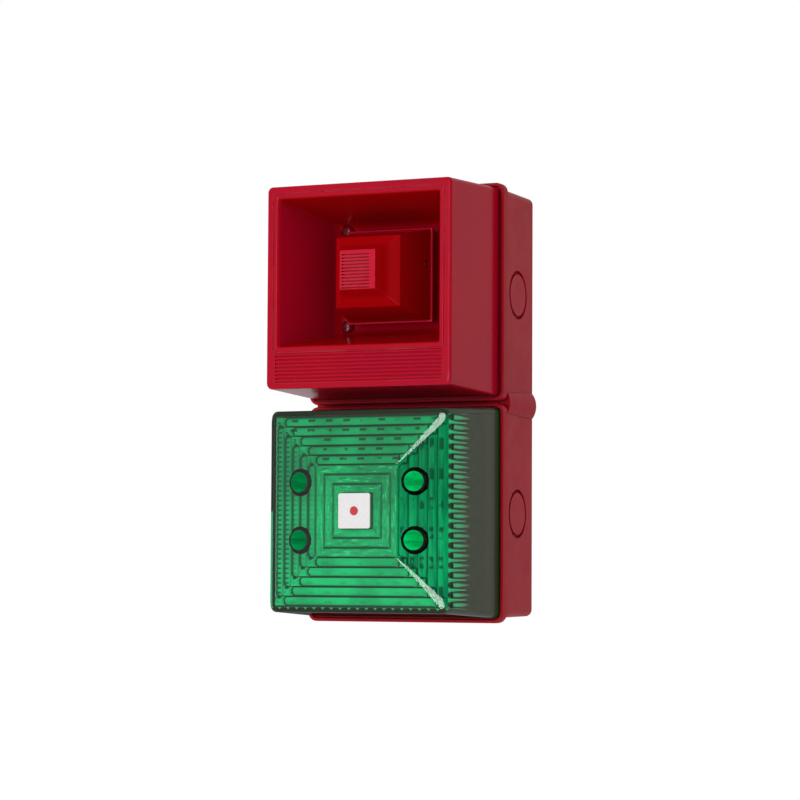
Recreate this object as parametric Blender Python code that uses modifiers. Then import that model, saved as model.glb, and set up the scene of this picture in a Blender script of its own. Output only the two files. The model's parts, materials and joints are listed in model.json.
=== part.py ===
"""Combined wall sounder and beacon: two moulded back boxes joined by a link bar.

The upper box carries a square re-entrant horn with its driver, the lower box carries a
ribbed green lens over a xenon beacon. Units are metres, +Z is up, the wall is the plane
Y = 0, the front faces -Y, and the origin is on the wall midway between the two modules.
"""

import bmesh
import bpy
import math
from mathutils import Matrix, Vector

MM = 0.001

# Whole unit
MODULE_PITCH = 107.8 * MM          # height between the centres of the two modules
BASE_DEPTH = 39.0 * MM             # wall to the front of a back box
HORN_REACH = 55.2 * MM             # front of the back box to the front of the horn
LENS_REACH = 52.7 * MM             # front of the back box to the outer edge of the lens
GAP = 0.3 * MM                     # clearance between neighbouring solids
SHARP_ANGLE = math.radians(35)     # edges sharper than this stay crisp
SAME_PLACE = 1e-6                  # points closer than this count as one
CORNER_STEPS = 2                   # facets round a moulded corner

# Facets round a turned shape, by what it is
NUT_SIDES = 6
THREAD_SIDES = 8
PAN_SIDES = 10
SHANK_SIDES = 12
BOSS_SIDES = 16
TUBE_SIDES = 20
TURNED_SIDES = 24
ROUND_SIDES = 28
WIDE_SIDES = 32
BULGE_SIDES = 48

# Back boxes, widths by heights
LIP_SIZE = (106.0 * MM, 106.8 * MM)
LIP_THICKNESS = 5.5 * MM
LIP_CORNER = 4.5 * MM
BOX_FRONT = (104.3 * MM, 101.7 * MM)
BOX_BACK = (101.2 * MM, 100.9 * MM)
BOX_CORNER = 3.5 * MM
CAVITY_FRONT = (96.0 * MM, 93.4 * MM)
CAVITY_BACK = (94.0 * MM, 93.0 * MM)
FLOOR = 3.0 * MM
RECESS_SIZE = (103.2 * MM, 103.6 * MM)
RECESS_DEPTH = 3.0 * MM
FIXING_AT = (28.0 * MM, 41.0 * MM)
FIXING_R = 2.3 * MM
KNOCKOUT_Y = -20.0 * MM
KNOCKOUT_OUTER_R = 12.1 * MM
KNOCKOUT_INNER_R = 10.2 * MM
KNOCKOUT_CUT = 1.3 * MM            # depth of the ring groove into the wall
KNOCKOUT_OVERRUN = 3.0 * MM        # how far the groove's cutter stands out of the wall

# Gaskets
GASKET_OUTER = (102.6 * MM, 103.0 * MM)
GASKET_INNER = (96.6 * MM, 94.0 * MM)
GASKET_THICKNESS = 1.6 * MM

# Link between the boxes
LINK_WIDTH = 100.0 * MM
LINK_HALF_HEIGHT = 5.3 * MM
LINK_BULGE_R = 10.3 * MM
LINK_BULGE_REACH = 53.0 * MM       # centre line to the outermost point of the bulge
LINK_FRONT_Y = -33.0 * MM
BUSH_Y = -19.5 * MM
BUSH_R = 8.0 * MM
BUSH_BORE_R = 6.2 * MM
BUSH_HALF_LENGTH = 12.8 * MM
NUT_R = 13.2 * MM
NUT_THICKNESS = 4.0 * MM
BUSH_HOLE_REACH = (4.0 * MM, 8.0 * MM)      # hole's ends either side of the cavity wall
WIRE_R = 0.9 * MM
WIRE_POINTS = 11

# Horn
HORN_FRONT = (97.4 * MM, 97.8 * MM)
HORN_BACK = (99.7 * MM, 102.0 * MM)
HORN_CORNER = 1.8 * MM
HORN_WALL = 2.5 * MM
HORN_BACK_Y = -41.2 * MM
SPIGOT_SIZE = (98.4 * MM, 100.4 * MM)
HORN_AXIS_Z = 7.6 * MM             # flare axis above the module centre
MOUTH_SIZE = (85.8 * MM, 71.7 * MM)
THROAT_SIZE = (62.0 * MM, 54.0 * MM)
THROAT_Y = -51.0 * MM
THROAT_FLOOR = 2.5 * MM
FLARE_WALL = 2.2 * MM
TUBE_R = 8.6 * MM
TUBE_BORE_R = 7.0 * MM
TUBE_FRONT_Y = -79.0 * MM
PANEL_WIDTH = 89.2 * MM
PANEL_TOP_Z = -30.6 * MM
PANEL_PITCH = 1.8 * MM
PANEL_GROOVES = 8
GROOVE_DEPTH = 0.8 * MM

# Plug in the mouth: depth and half width of each square section, from base to face
PLUG_SECTIONS = (
    (-57.7 * MM, 22.4 * MM),
    (-83.0 * MM, 17.4 * MM),
    (-87.4 * MM, 11.6 * MM),
    (-94.6 * MM, 9.8 * MM),
)
PLUG_WALL = 2.0 * MM
PLUG_GROOVES = 11
PLUG_GROOVE_PITCH = 1.7 * MM
PLUG_GROOVE_WIDTH = 0.7 * MM
PLUG_GROOVE_DEPTH = 0.5 * MM
PLUG_FACE_BORDER = 1.0 * MM
PLUG_SCREW_Y = -62.0 * MM
PLUG_SCREW_Z = 5.2 * MM            # above the flare axis
PLUG_SCREW_R = 1.4 * MM
PLUG_SHANK_R = 1.0 * MM
PLUG_POST_X = 12.5 * MM
PLUG_POST_HALF = 3.0 * MM

# Screws, their bosses and the posts that carry the circuit boards
HORN_SCREW_AT = (26.5 * MM, 23.5 * MM)      # about the flare axis
LENS_SCREW_AT = (30.5 * MM, 13.9 * MM)      # about the module centre
BOARD_SCREW_AT = (38.5 * MM, 36.0 * MM)
COVER_SCREW_R = 1.9 * MM
COVER_HEAD_R = 3.4 * MM
COVER_HEAD_HEIGHT = 2.6 * MM
COVER_SCREW_LENGTH = 20.0 * MM
LENS_SCREW_LENGTH = 16.0 * MM
CROSS_ARM = 1.8 * MM               # cross recess, centre to the end of an arm
CROSS_HALF_WIDTH = 0.45 * MM
CROSS_DEPTH = 1.4 * MM
BOSS_R = 4.6 * MM
HORN_BOSS_Y = -41.5 * MM
SLEEVE_R = 4.2 * MM
BOARD_SCREW_R = 1.25 * MM
BOARD_HEAD_R = 2.6 * MM
BOARD_HEAD_HEIGHT = 1.8 * MM
BOARD_SCREW_LENGTH = 6.0 * MM
BOARD_SLOT_DEPTH = 0.8 * MM
BOARD_SLOT_HALF = 0.35 * MM
POST_R = 3.6 * MM

# Driver
CAN_R = 24.0 * MM
CAN_WALL = 2.0 * MM
CAN_BACK_Y = -25.5 * MM
DIAPHRAGM_R = 20.5 * MM
DIAPHRAGM_Y = -44.0 * MM
DIAPHRAGM_THICKNESS = 0.35 * MM
DIAPHRAGM_FLAT = 2.0 * MM          # flat ring outside the coil
CAN_FRONT = 3.0 * MM               # thickness of the can's front wall
CAN_OPENING_R = 16.5 * MM
DOME_RISE = 2.6 * MM
COIL_R = 9.4 * MM
COIL_WALL = 0.55 * MM
COIL_LENGTH = 5.5 * MM
PLATE_SET_BACK = 2.4 * MM          # diaphragm to the front of the top plate
PLATE_THICKNESS = 3.0 * MM
MAGNET_THICKNESS = 8.0 * MM
POLE_R = 9.0 * MM
PLATE_HOLE_R = 10.4 * MM
MAGNET_R = 21.0 * MM
MAGNET_HOLE_R = 13.0 * MM

# Sounder board and what it carries
BOARD_SIZE = (86.0 * MM, 80.0 * MM)
BOARD_THICKNESS = 1.6 * MM
BOARD_CORNER = 3.0 * MM
SOUNDER_BOARD_Y = -22.0 * MM       # front face
BOARD_HOLE_R = 6.0 * MM
TONE_LEVERS = 5
TONE_PITCH = 2.54 * MM
TONE_SWITCH_AT = (-10.0 * MM, -22.0 * MM)
TONE_TRAVEL = 1.5 * MM
TONE_HEIGHT = 4.6 * MM
TONE_HALF_DEPTH = 3.4 * MM
TONE_SLOT_FLOOR = 2.4 * MM         # board to the bottom of the lever slots
TONE_LEVER_SIZE = 1.3 * MM
TONE_LEVER_RISE = 0.8 * MM         # lever above the switch body
VOLUME_AT = (14.0 * MM, -22.0 * MM)
VOLUME_ROTOR_R = 2.8 * MM
VOLUME_HALF = 5.0 * MM
VOLUME_HEIGHT = 4.8 * MM
VOLUME_SEAT = 2.0 * MM             # board to the bottom of the rotor's well
VOLUME_RISE = 0.6 * MM             # rotor above the body
VOLUME_SLOT = (2.0 * MM, 0.4 * MM)          # half length and half width of the rotor's slot
VOLUME_SLOT_FLOOR = 0.4 * MM       # slot's bottom below the top of the body
SOUNDER_CAPACITOR_R = 4.0 * MM
SOUNDER_CAPACITOR_HALF = 6.0 * MM
SOUNDER_CAPACITOR_Z = 18.0 * MM
SOUNDER_TRANSFORMER_AT = (0.0, 2.0 * MM)
CORE_HALF = (8.0 * MM, 7.0 * MM)   # transformer core, half width and half height
CORE_DEPTH = 11.0 * MM
WINDING_HALF = (5.0 * MM, 9.0 * MM)
WINDING_INSET = 2.5 * MM
TERMINAL_WAYS = 4
TERMINAL_PITCH = 5.0 * MM
TERMINAL_HALF = 4.0 * MM
TERMINAL_HEIGHT = 9.0 * MM
TERMINAL_MOUTH = 3.2 * MM          # board to the middle of the wire mouths
TERMINAL_MOUTH_HALF = 1.6 * MM
TERMINAL_SCREW_R = 1.9 * MM
TERMINAL_SCREW_DEPTH = 3.0 * MM
SOUNDER_TERMINALS_Z = 34.0 * MM    # below the module centre
BEACON_TERMINALS_Z = 30.0 * MM     # above the module centre

# Lens
LENS_FRONT = (95.2 * MM, 96.8 * MM)
LENS_BACK = (102.4 * MM, 102.1 * MM)
LENS_CORNER = 2.6 * MM
LENS_WALL = 2.5 * MM
LENS_BACK_Y = -38.2 * MM
PLATEAU_SIZE = 44.8 * MM
PLATEAU_RISE = 4.4 * MM
WELL_R = 6.7 * MM
WELL_BORE_R = 4.75 * MM
WELL_END_Y = -46.0 * MM
WELL_FLOOR = 2.5 * MM
LABEL_SIZE = 16.8 * MM
LABEL_THICKNESS = 0.6 * MM
LABEL_RECESS = 0.5 * MM

# Beacon
REFLECTOR_SIZE = (90.0 * MM, 90.0 * MM)
REFLECTOR_Y = -40.6 * MM           # front face
REFLECTOR_SHEET = 1.4 * MM
REFLECTOR_RIM = 5.0 * MM
REFLECTOR_CORNER = 2.0 * MM
LENS_BOSS_STEP_Y = -38.9 * MM
LENS_BOSS_TIP_R = 3.7 * MM
LENS_BOSS_Y = -45.7 * MM
FLASH_TUBE_Y = -55.0 * MM
FLASH_TUBE_R = 2.6 * MM
FLASH_TUBE_BORE_R = 1.9 * MM
FLASH_TUBE_LENGTH = 44.0 * MM
CLIP_ENDS = (4.5 * MM, 0.5 * MM)   # inner and outer face of a clip, from the tube's end
CLIP_HALF = 3.6 * MM
CLIP_MOUTH = (5.0 * MM, 1.0 * MM)  # opening in front of the tube's axis, far and near
CLIP_MOUTH_HALF = 1.6 * MM
CLIP_WINDOW_FROM = 3.8 * MM        # hollow foot, behind the tube's axis
CLIP_WINDOW_HALF = 2.6 * MM
CLIP_FOOT = 1.2 * MM
BEACON_BOARD_Y = -16.0 * MM        # front face
FLASH_CAPACITOR_R = 7.5 * MM
FLASH_CAPACITOR_HALF = 14.0 * MM
FLASH_CAPACITOR_Z = -30.0 * MM
TRIGGER_COIL_R = 4.2 * MM
TRIGGER_COIL_HEIGHT = 11.0 * MM
TRIGGER_COIL_AT = (20.0 * MM, -12.0 * MM)
BEACON_TRANSFORMER_AT = (0.0, -8.0 * MM)

UPPER_Z = MODULE_PITCH / 2
LOWER_Z = -MODULE_PITCH / 2
LIP_Y = -BASE_DEPTH
HORN_FRONT_Y = LIP_Y - HORN_REACH
LENS_FRONT_Y = LIP_Y - LENS_REACH
PLATEAU_Y = LENS_FRONT_Y - PLATEAU_RISE
THROAT_BACK_Y = THROAT_Y + THROAT_FLOOR
SIGNS = (-1, 1)
CORNERS = ((-1, 1), (1, 1), (-1, -1), (1, -1))


def clear_scene():
    for obj in list(bpy.data.objects):
        bpy.data.objects.remove(obj, do_unlink=True)


def new_collection(name):
    collection = bpy.data.collections.new(name)
    bpy.context.scene.collection.children.link(collection)
    return collection


def new_empty(name, collection, location):
    empty = bpy.data.objects.new(name, None)
    collection.objects.link(empty)
    empty.location = location
    return empty


def plastic(name, colour, roughness=0.4, metallic=0.0, alpha=1.0):
    material = bpy.data.materials.new(name)
    material.use_nodes = True
    shader = material.node_tree.nodes["Principled BSDF"]
    shader.inputs["Base Color"].default_value = (*colour, 1.0)
    shader.inputs["Roughness"].default_value = roughness
    shader.inputs["Metallic"].default_value = metallic
    shader.inputs["Alpha"].default_value = alpha
    return material


class Workshop:
    """Collections and materials that the build functions share."""

    def __init__(self):
        self.parts = new_collection("wall_sounder_beacon")
        self.cutters = new_collection("cutters")
        self.red = plastic("red_abs", (0.46, 0.02, 0.03), 0.35)
        self.green = plastic("green_lens", (0.02, 0.42, 0.15), 0.12, alpha=0.6)
        self.rubber = plastic("black_rubber", (0.02, 0.02, 0.02), 0.8)
        self.steel = plastic("steel", (0.6, 0.6, 0.6), 0.3, 1.0)
        self.ferrite = plastic("ferrite", (0.05, 0.05, 0.055), 0.6)
        self.film = plastic("diaphragm_film", (0.55, 0.35, 0.12), 0.4)
        self.copper = plastic("copper", (0.72, 0.36, 0.2), 0.35, 1.0)
        self.board = plastic("circuit_board", (0.02, 0.16, 0.06), 0.5)
        self.white = plastic("white_plastic", (0.8, 0.8, 0.78), 0.4)
        self.black = plastic("black_plastic", (0.03, 0.03, 0.03), 0.45)
        self.blue = plastic("blue_plastic", (0.03, 0.12, 0.4), 0.45)
        self.glass = plastic("tube_glass", (0.85, 0.88, 0.9), 0.05, alpha=0.4)
        self.red_wire = plastic("red_wire", (0.5, 0.03, 0.03), 0.5)
        self.label = plastic("label_white", (0.85, 0.85, 0.85), 0.5)


# ---------------------------------------------------------------- mesh helpers

def stacked_block(sections, corner=0.0):
    """Solid made of rectangular sections (y, width, height, centre z), back to front."""
    bm = bmesh.new()
    bmesh.ops.create_grid(bm, x_segments=1, y_segments=1, size=0.5)
    bmesh.ops.rotate(bm, verts=bm.verts, matrix=Matrix.Rotation(math.radians(90), 3, "X"))
    base = [(vert.co.x * 2, vert.co.z * 2) for vert in bm.verts]
    ring = list(bm.verts)
    face = bm.faces[:][0]
    for index, (y, width, height, centre_z) in enumerate(sections):
        if index:
            before = face
            made = bmesh.ops.extrude_face_region(bm, geom=[before])["geom"]
            face = [item for item in made if isinstance(item, bmesh.types.BMFace)][0]
            if index > 1 and before.is_valid:
                bmesh.ops.delete(bm, geom=[before], context="FACES_ONLY")
            fresh = [item for item in made if isinstance(item, bmesh.types.BMVert)]
            ring = [min(fresh, key=lambda v, o=old: (v.co - o).length)
                    for old in [vert.co.copy() for vert in ring]]
        for vert, (side, rise) in zip(ring, base):
            vert.co = Vector((side * width / 2, y, centre_z + rise * height / 2))
    bmesh.ops.recalc_face_normals(bm, faces=bm.faces)
    if corner:
        lengthwise = []
        for edge in bm.edges:
            if abs(edge.verts[0].co.y - edge.verts[1].co.y) > SAME_PLACE:
                lengthwise.append(edge)
        bmesh.ops.bevel(bm, geom=lengthwise, offset=corner, segments=CORNER_STEPS,
                        profile=0.5, affect="EDGES")
    return bm


def block(low, high):
    """Plain box between two corners."""
    bm = bmesh.new()
    bmesh.ops.create_cube(bm, size=1.0)
    low = Vector(low)
    high = Vector(high)
    size = high - low
    bmesh.ops.scale(bm, vec=size, verts=bm.verts)
    bmesh.ops.translate(bm, vec=(low + high) / 2, verts=bm.verts)
    return bm


def drum(radius, start, end, axis="Y", at=(0.0, 0.0), steps=TURNED_SIDES, end_radius=None):
    """Cylinder or cone along an axis; at gives its place on the other two axes."""
    turn = {"X": Matrix.Rotation(math.radians(90), 3, "Y"),
            "Y": Matrix.Rotation(math.radians(-90), 3, "X"),
            "Z": Matrix.Identity(3)}[axis]
    middle = (start + end) / 2
    centre = {"X": (middle, at[0], at[1]),
              "Y": (at[0], middle, at[1]),
              "Z": (at[0], at[1], middle)}[axis]
    bm = bmesh.new()
    bmesh.ops.create_cone(bm, cap_ends=True, segments=steps, radius1=radius,
                          radius2=radius if end_radius is None else end_radius,
                          depth=abs(end - start))
    bmesh.ops.rotate(bm, verts=bm.verts, matrix=turn)
    bmesh.ops.translate(bm, vec=centre, verts=bm.verts)
    return bm


def merged(pieces):
    """Several bmeshes put into one, each staying its own shell."""
    total = bmesh.new()
    for piece in pieces:
        mesh = bpy.data.meshes.new("shell")
        piece.to_mesh(mesh)
        piece.free()
        total.from_mesh(mesh)
        bpy.data.meshes.remove(mesh)
    return total


def add_part(shop, name, bm, material, parent=None, location=(0.0, 0.0, 0.0)):
    """Turns a bmesh into a named, parented object with its own material."""
    mesh = bpy.data.meshes.new(name)
    bm.to_mesh(mesh)
    bm.free()
    mesh.materials.append(material)
    mesh.shade_smooth()
    mesh.set_sharp_from_angle(angle=SHARP_ANGLE)
    obj = bpy.data.objects.new(name, mesh)
    shop.parts.objects.link(obj)
    obj.parent = parent
    obj.location = location
    return obj


def shape(shop, target, bm, operation="DIFFERENCE"):
    """Cuts a bmesh from a part, or joins it on, with a Boolean modifier."""
    label = f"{target.name}_{operation.lower()}_{len(target.modifiers)}"
    mesh = bpy.data.meshes.new(label)
    bm.to_mesh(mesh)
    bm.free()
    tool = bpy.data.objects.new(label, mesh)
    shop.cutters.objects.link(tool)
    tool.hide_render = True
    tool.display_type = "WIRE"
    tool.parent = target.parent
    tool.location = target.location
    boolean = target.modifiers.new(operation.lower(), "BOOLEAN")
    boolean.operation = operation
    boolean.object = tool
    boolean.solver = "EXACT"


def turned(profile, steps, name):
    """Profile of (radius, height) points, axis to axis, turned about Z by a Screw modifier."""
    mesh = bpy.data.meshes.new(name)
    points = [(radius, 0.0, height) for radius, height in profile]
    edges = [(index, index + 1) for index in range(len(points) - 1)]
    mesh.from_pydata(points, edges, [])
    obj = bpy.data.objects.new(name, mesh)
    screw = obj.modifiers.new("turn", "SCREW")
    screw.steps = steps
    screw.render_steps = steps
    screw.use_merge_vertices = True
    screw.merge_threshold = SAME_PLACE
    return obj


def plate_section(size, corner, y_back, y_front):
    """Straight rounded slab between two depths."""
    return stacked_block(((y_back, *size, 0.0), (y_front, *size, 0.0)), corner)


# ---------------------------------------------------------------- base

def back_box(shop, name, module, bosses, towards_link):
    """Moulded box with a lipped front, knockouts in both sides and its screw bosses."""
    lip_back = LIP_Y + LIP_THICKNESS
    body = stacked_block(((0.0, *BOX_BACK, 0.0), (lip_back - GAP, *BOX_FRONT, 0.0)), BOX_CORNER)
    box = add_part(shop, name, body, shop.red, module)
    shape(shop, box, plate_section(LIP_SIZE, LIP_CORNER, lip_back, LIP_Y), "UNION")
    shape(shop, box, stacked_block(((-FLOOR, *CAVITY_BACK, 0.0),
                                    (LIP_Y - MM, *CAVITY_FRONT, 0.0)), BOX_CORNER))
    shape(shop, box, plate_section(RECESS_SIZE, LIP_CORNER / 2, LIP_Y + RECESS_DEPTH, LIP_Y - MM))
    shape(shop, box, merged(bosses), "UNION")
    side_at_knockout = box_half_width(KNOCKOUT_Y)
    for side in SIGNS:
        far = side * (side_at_knockout + KNOCKOUT_OVERRUN)
        near = side * (side_at_knockout - KNOCKOUT_CUT)
        ring_at = (KNOCKOUT_Y, 0.0)
        groove = add_part(shop, f"{name}_groove_{side}", drum(
            KNOCKOUT_OUTER_R, near, far, "X", ring_at, WIDE_SIDES), shop.red, module)
        core = drum(KNOCKOUT_INNER_R, near - side * MM, far + side * MM, "X", ring_at, WIDE_SIDES)
        shape(shop, groove, core)
        as_cutter(shop, groove)
        cut = box.modifiers.new("knockout", "BOOLEAN")
        cut.object = groove
        cut.solver = "EXACT"
    holes = []
    for side, rise in CORNERS:
        holes.append(drum(FIXING_R, MM, -FLOOR - MM, "Y",
                          (side * FIXING_AT[0], rise * FIXING_AT[1]), BOSS_SIDES))
    wall_z = towards_link * CAVITY_BACK[1] / 2
    holes.append(drum(BUSH_R + 2 * GAP, wall_z - towards_link * BUSH_HOLE_REACH[0],
                      wall_z + towards_link * BUSH_HOLE_REACH[1], "Z", (0.0, BUSH_Y), TURNED_SIDES))
    shape(shop, box, merged(holes))
    return box


def box_half_width(y):
    """Half width of a back box's drafted side at a depth."""
    share = y / (LIP_Y + LIP_THICKNESS)
    return (BOX_BACK[0] + (BOX_FRONT[0] - BOX_BACK[0]) * share) / 2


def as_cutter(shop, obj):
    shop.parts.objects.unlink(obj)
    shop.cutters.objects.link(obj)
    obj.hide_render = True
    obj.display_type = "WIRE"


def screw_boss(at, tip_y, steps=BOSS_SIDES, radius=BOSS_R):
    return drum(radius, -FLOOR + MM, tip_y, "Y", at, steps)


def upper_box(shop, module):
    places = horn_screw_places()
    box = back_box(shop, "upper_back_box", module,
                   [screw_boss(at, HORN_BOSS_Y) for at in places], -1)
    shape(shop, box, merged([pilot_hole(at, HORN_BOSS_Y) for at in places]))


def lower_box(shop, module):
    places = lens_screw_places()
    posts = [screw_boss(at, BEACON_BOARD_Y + BOARD_THICKNESS + GAP, 12, POST_R)
             for at in board_screw_places()]
    bosses = [screw_boss(at, LENS_BOSS_STEP_Y) for at in places]
    box = back_box(shop, "lower_back_box", module, posts + bosses, 1)
    tips = [drum(LENS_BOSS_TIP_R, LENS_BOSS_STEP_Y + MM, LENS_BOSS_Y, "Y", at, BOSS_SIDES)
            for at in places]
    shape(shop, box, merged(tips), "UNION")
    holes = [pilot_hole(at, LENS_BOSS_Y) for at in places]
    for at in board_screw_places():
        holes.append(drum(BOARD_SCREW_R + GAP, BEACON_BOARD_Y - MM,
                          BEACON_BOARD_Y + BOARD_SCREW_LENGTH + 2 * MM, "Y", at, THREAD_SIDES))
    shape(shop, box, merged(holes))


def pilot_hole(at, tip_y):
    depth = COVER_SCREW_LENGTH
    return drum(COVER_SCREW_R + GAP, tip_y - MM, tip_y + depth, "Y", at, SHANK_SIDES)


def horn_screw_places():
    return [(side * HORN_SCREW_AT[0], HORN_AXIS_Z + rise * HORN_SCREW_AT[1])
            for side, rise in CORNERS]


def lens_screw_places():
    return [(side * LENS_SCREW_AT[0], rise * LENS_SCREW_AT[1]) for side, rise in CORNERS]


def board_screw_places():
    return [(side * BOARD_SCREW_AT[0], rise * BOARD_SCREW_AT[1]) for side, rise in CORNERS]


def gasket(shop, name, module):
    back = LIP_Y + RECESS_DEPTH - GAP
    ring = add_part(shop, name, plate_section(
        GASKET_OUTER, LIP_CORNER / 2, back, back - GASKET_THICKNESS), shop.rubber, module)
    shape(shop, ring, plate_section(
        GASKET_INNER, BOX_CORNER, back + MM, back - GASKET_THICKNESS - MM))


def link_spacer(shop):
    """Bar that fills the space between the boxes and swells into a bead at each side."""
    bar = add_part(shop, "link_spacer", block(
        (-LINK_WIDTH / 2, LINK_FRONT_Y, -LINK_HALF_HEIGHT),
        (LINK_WIDTH / 2, 0.0, LINK_HALF_HEIGHT)), shop.red)
    for side in SIGNS:
        bead_x = side * (LINK_BULGE_REACH - LINK_BULGE_R)
        bead = drum(LINK_BULGE_R, LINK_FRONT_Y, 0.0, "Y", (bead_x, 0.0), BULGE_SIDES)
        shape(shop, bar, bead, "UNION")
    for centre_z in (UPPER_Z, LOWER_Z):
        grown = 2 * GAP
        shape(shop, bar, stacked_block((
            (MM, BOX_BACK[0] + grown, BOX_BACK[1] + grown, centre_z),
            (LIP_Y, BOX_FRONT[0] + grown, BOX_FRONT[1] + grown, centre_z)), BOX_CORNER))
    shape(shop, bar, drum(BUSH_R + 2 * GAP, -2 * LINK_BULGE_R, 2 * LINK_BULGE_R, "Z",
                          (0.0, BUSH_Y), TURNED_SIDES))


def link_bush(shop):
    bush = add_part(shop, "link_bush", drum(
        BUSH_R, -BUSH_HALF_LENGTH, BUSH_HALF_LENGTH, "Z"), shop.black,
        location=(0.0, BUSH_Y, 0.0))
    shape(shop, bush, drum(BUSH_BORE_R, -2 * BUSH_HALF_LENGTH, 2 * BUSH_HALF_LENGTH, "Z"))
    inner_wall = UPPER_Z - CAVITY_BACK[1] / 2 + 2 * GAP
    for name, side in (("upper_link_nut", 1), ("lower_link_nut", -1)):
        start = side * inner_wall
        end = start + side * NUT_THICKNESS
        nut = add_part(shop, name, drum(NUT_R, start, end, "Z", steps=NUT_SIDES), shop.black,
                       location=(0.0, BUSH_Y, 0.0))
        shape(shop, nut, drum(BUSH_R + GAP, start - side * MM, end + side * MM, "Z"))


def wire(shop, name, material, points):
    curve = bpy.data.curves.new(name, "CURVE")
    curve.dimensions = "3D"
    curve.bevel_depth = WIRE_R
    curve.bevel_resolution = 2
    curve.use_fill_caps = True
    spline = curve.splines.new("POLY")
    spline.points.add(len(points) - 1)
    for point, place in zip(spline.points, points):
        point.co = (*place, 1.0)
    curve.materials.append(material)
    obj = bpy.data.objects.new(name, curve)
    shop.parts.objects.link(obj)


def link_wires(shop):
    """Two wires that carry the supply from one box to the other through the bush."""
    top = UPPER_Z - SOUNDER_TERMINALS_Z - TERMINAL_HALF - 2 * GAP
    bottom = LOWER_Z + BEACON_TERMINALS_Z + TERMINAL_HALF + 2 * GAP
    top_y = SOUNDER_BOARD_Y + BOARD_THICKNESS + TERMINAL_MOUTH
    for name, material, side in (("link_wire_red", shop.red_wire, 1),
                                 ("link_wire_black", shop.black, -1)):
        points = []
        for index in range(WIRE_POINTS):
            z = bottom + (top - bottom) * index / (WIRE_POINTS - 1)
            above = max(0.0, z / top)
            bend = above * above * (3 - 2 * above)
            points.append((side * TERMINAL_PITCH / 2, BUSH_Y + (top_y - BUSH_Y) * bend, z))
        wire(shop, name, material, points)


# ---------------------------------------------------------------- horn

def horn_housing(shop, module):
    """Outer shell, flare, throat tube, board posts and screw sleeves in one moulding."""
    shell = add_part(shop, "horn_housing", stacked_block(
        ((HORN_BACK_Y, *HORN_BACK, 0.0), (HORN_FRONT_Y, *HORN_FRONT, 0.0)), HORN_CORNER),
        shop.red, module)
    spigot_end = LENS_BACK_Y
    shape(shop, shell, plate_section(
        SPIGOT_SIZE, HORN_CORNER, spigot_end, HORN_BACK_Y - MM), "UNION")
    inset = 2 * HORN_WALL
    shape(shop, shell, stacked_block((
        (spigot_end + MM, HORN_BACK[0] - inset, HORN_BACK[1] - inset, 0.0),
        (HORN_FRONT_Y + HORN_WALL, HORN_FRONT[0] - inset, HORN_FRONT[1] - inset, 0.0))))
    skin = 2 * FLARE_WALL
    shape(shop, shell, stacked_block((
        (THROAT_BACK_Y, THROAT_SIZE[0] + skin, THROAT_SIZE[1] + skin, HORN_AXIS_Z),
        (HORN_FRONT_Y + MM, MOUTH_SIZE[0] + skin, MOUTH_SIZE[1] + skin, HORN_AXIS_Z))), "UNION")
    post_back = SOUNDER_BOARD_Y - GAP
    posts = [drum(POST_R, post_back, HORN_FRONT_Y + MM, "Y", at, SHANK_SIDES)
             for at in board_screw_places()]
    sleeves = [drum(SLEEVE_R, HORN_BOSS_Y - GAP, THROAT_BACK_Y - MM, "Y", at, BOSS_SIDES)
               for at in horn_screw_places()]
    shape(shop, shell, merged(posts), "UNION")
    shape(shop, shell, merged(sleeves), "UNION")
    shape(shop, shell, stacked_block((
        (THROAT_Y, *THROAT_SIZE, HORN_AXIS_Z),
        (HORN_FRONT_Y - MM, *MOUTH_SIZE, HORN_AXIS_Z))))
    inside = [drum(TUBE_R, THROAT_Y + MM, TUBE_FRONT_Y, "Y", (0.0, HORN_AXIS_Z), WIDE_SIDES)]
    post_y = PLUG_SCREW_Y - PLUG_POST_HALF
    post_z = HORN_AXIS_Z + PLUG_SCREW_Z
    for side in SIGNS:
        near = side * PLUG_POST_X
        far = side * (plug_half_width(post_y) - PLUG_WALL - 3 * GAP)
        inside.append(block(
            (min(near, far), post_y, post_z - PLUG_POST_HALF),
            (max(near, far), THROAT_Y + MM, post_z + PLUG_POST_HALF)))
    shape(shop, shell, merged(inside), "UNION")
    holes = [drum(TUBE_BORE_R, THROAT_BACK_Y + MM, TUBE_FRONT_Y - MM, "Y",
                  (0.0, HORN_AXIS_Z), WIDE_SIDES)]
    for at in horn_screw_places():
        holes.append(drum(COVER_SCREW_R + GAP, THROAT_Y - MM, HORN_BOSS_Y + MM, "Y", at, SHANK_SIDES))
    for at in board_screw_places():
        holes.append(drum(BOARD_SCREW_R + GAP, post_back + MM,
                          post_back - BOARD_SCREW_LENGTH, "Y", at, THREAD_SIDES))
    shape(shop, shell, merged(holes))
    side_holes = []
    for side in SIGNS:
        side_holes.append(drum(PLUG_SHANK_R + GAP, side * (PLUG_POST_X - MM),
                               side * PLUG_SECTIONS[0][1], "X",
                               (PLUG_SCREW_Y, HORN_AXIS_Z + PLUG_SCREW_Z), PAN_SIDES))
    shape(shop, shell, merged(side_holes))
    grooves = []
    for index in range(PANEL_GROOVES):
        z = PANEL_TOP_Z - index * PANEL_PITCH
        grooves.append(block(
            (-PANEL_WIDTH / 2, HORN_FRONT_Y - MM, z - PANEL_PITCH / 4),
            (PANEL_WIDTH / 2, HORN_FRONT_Y + GROOVE_DEPTH, z + PANEL_PITCH / 4)))
    shape(shop, shell, merged(grooves))


def plug_half_width(y):
    """Half width of the plug's long outer facet at a depth."""
    (base_y, base), (ridge_y, ridge) = PLUG_SECTIONS[:2]
    return base + (ridge - base) * (y - base_y) / (ridge_y - base_y)


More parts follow.
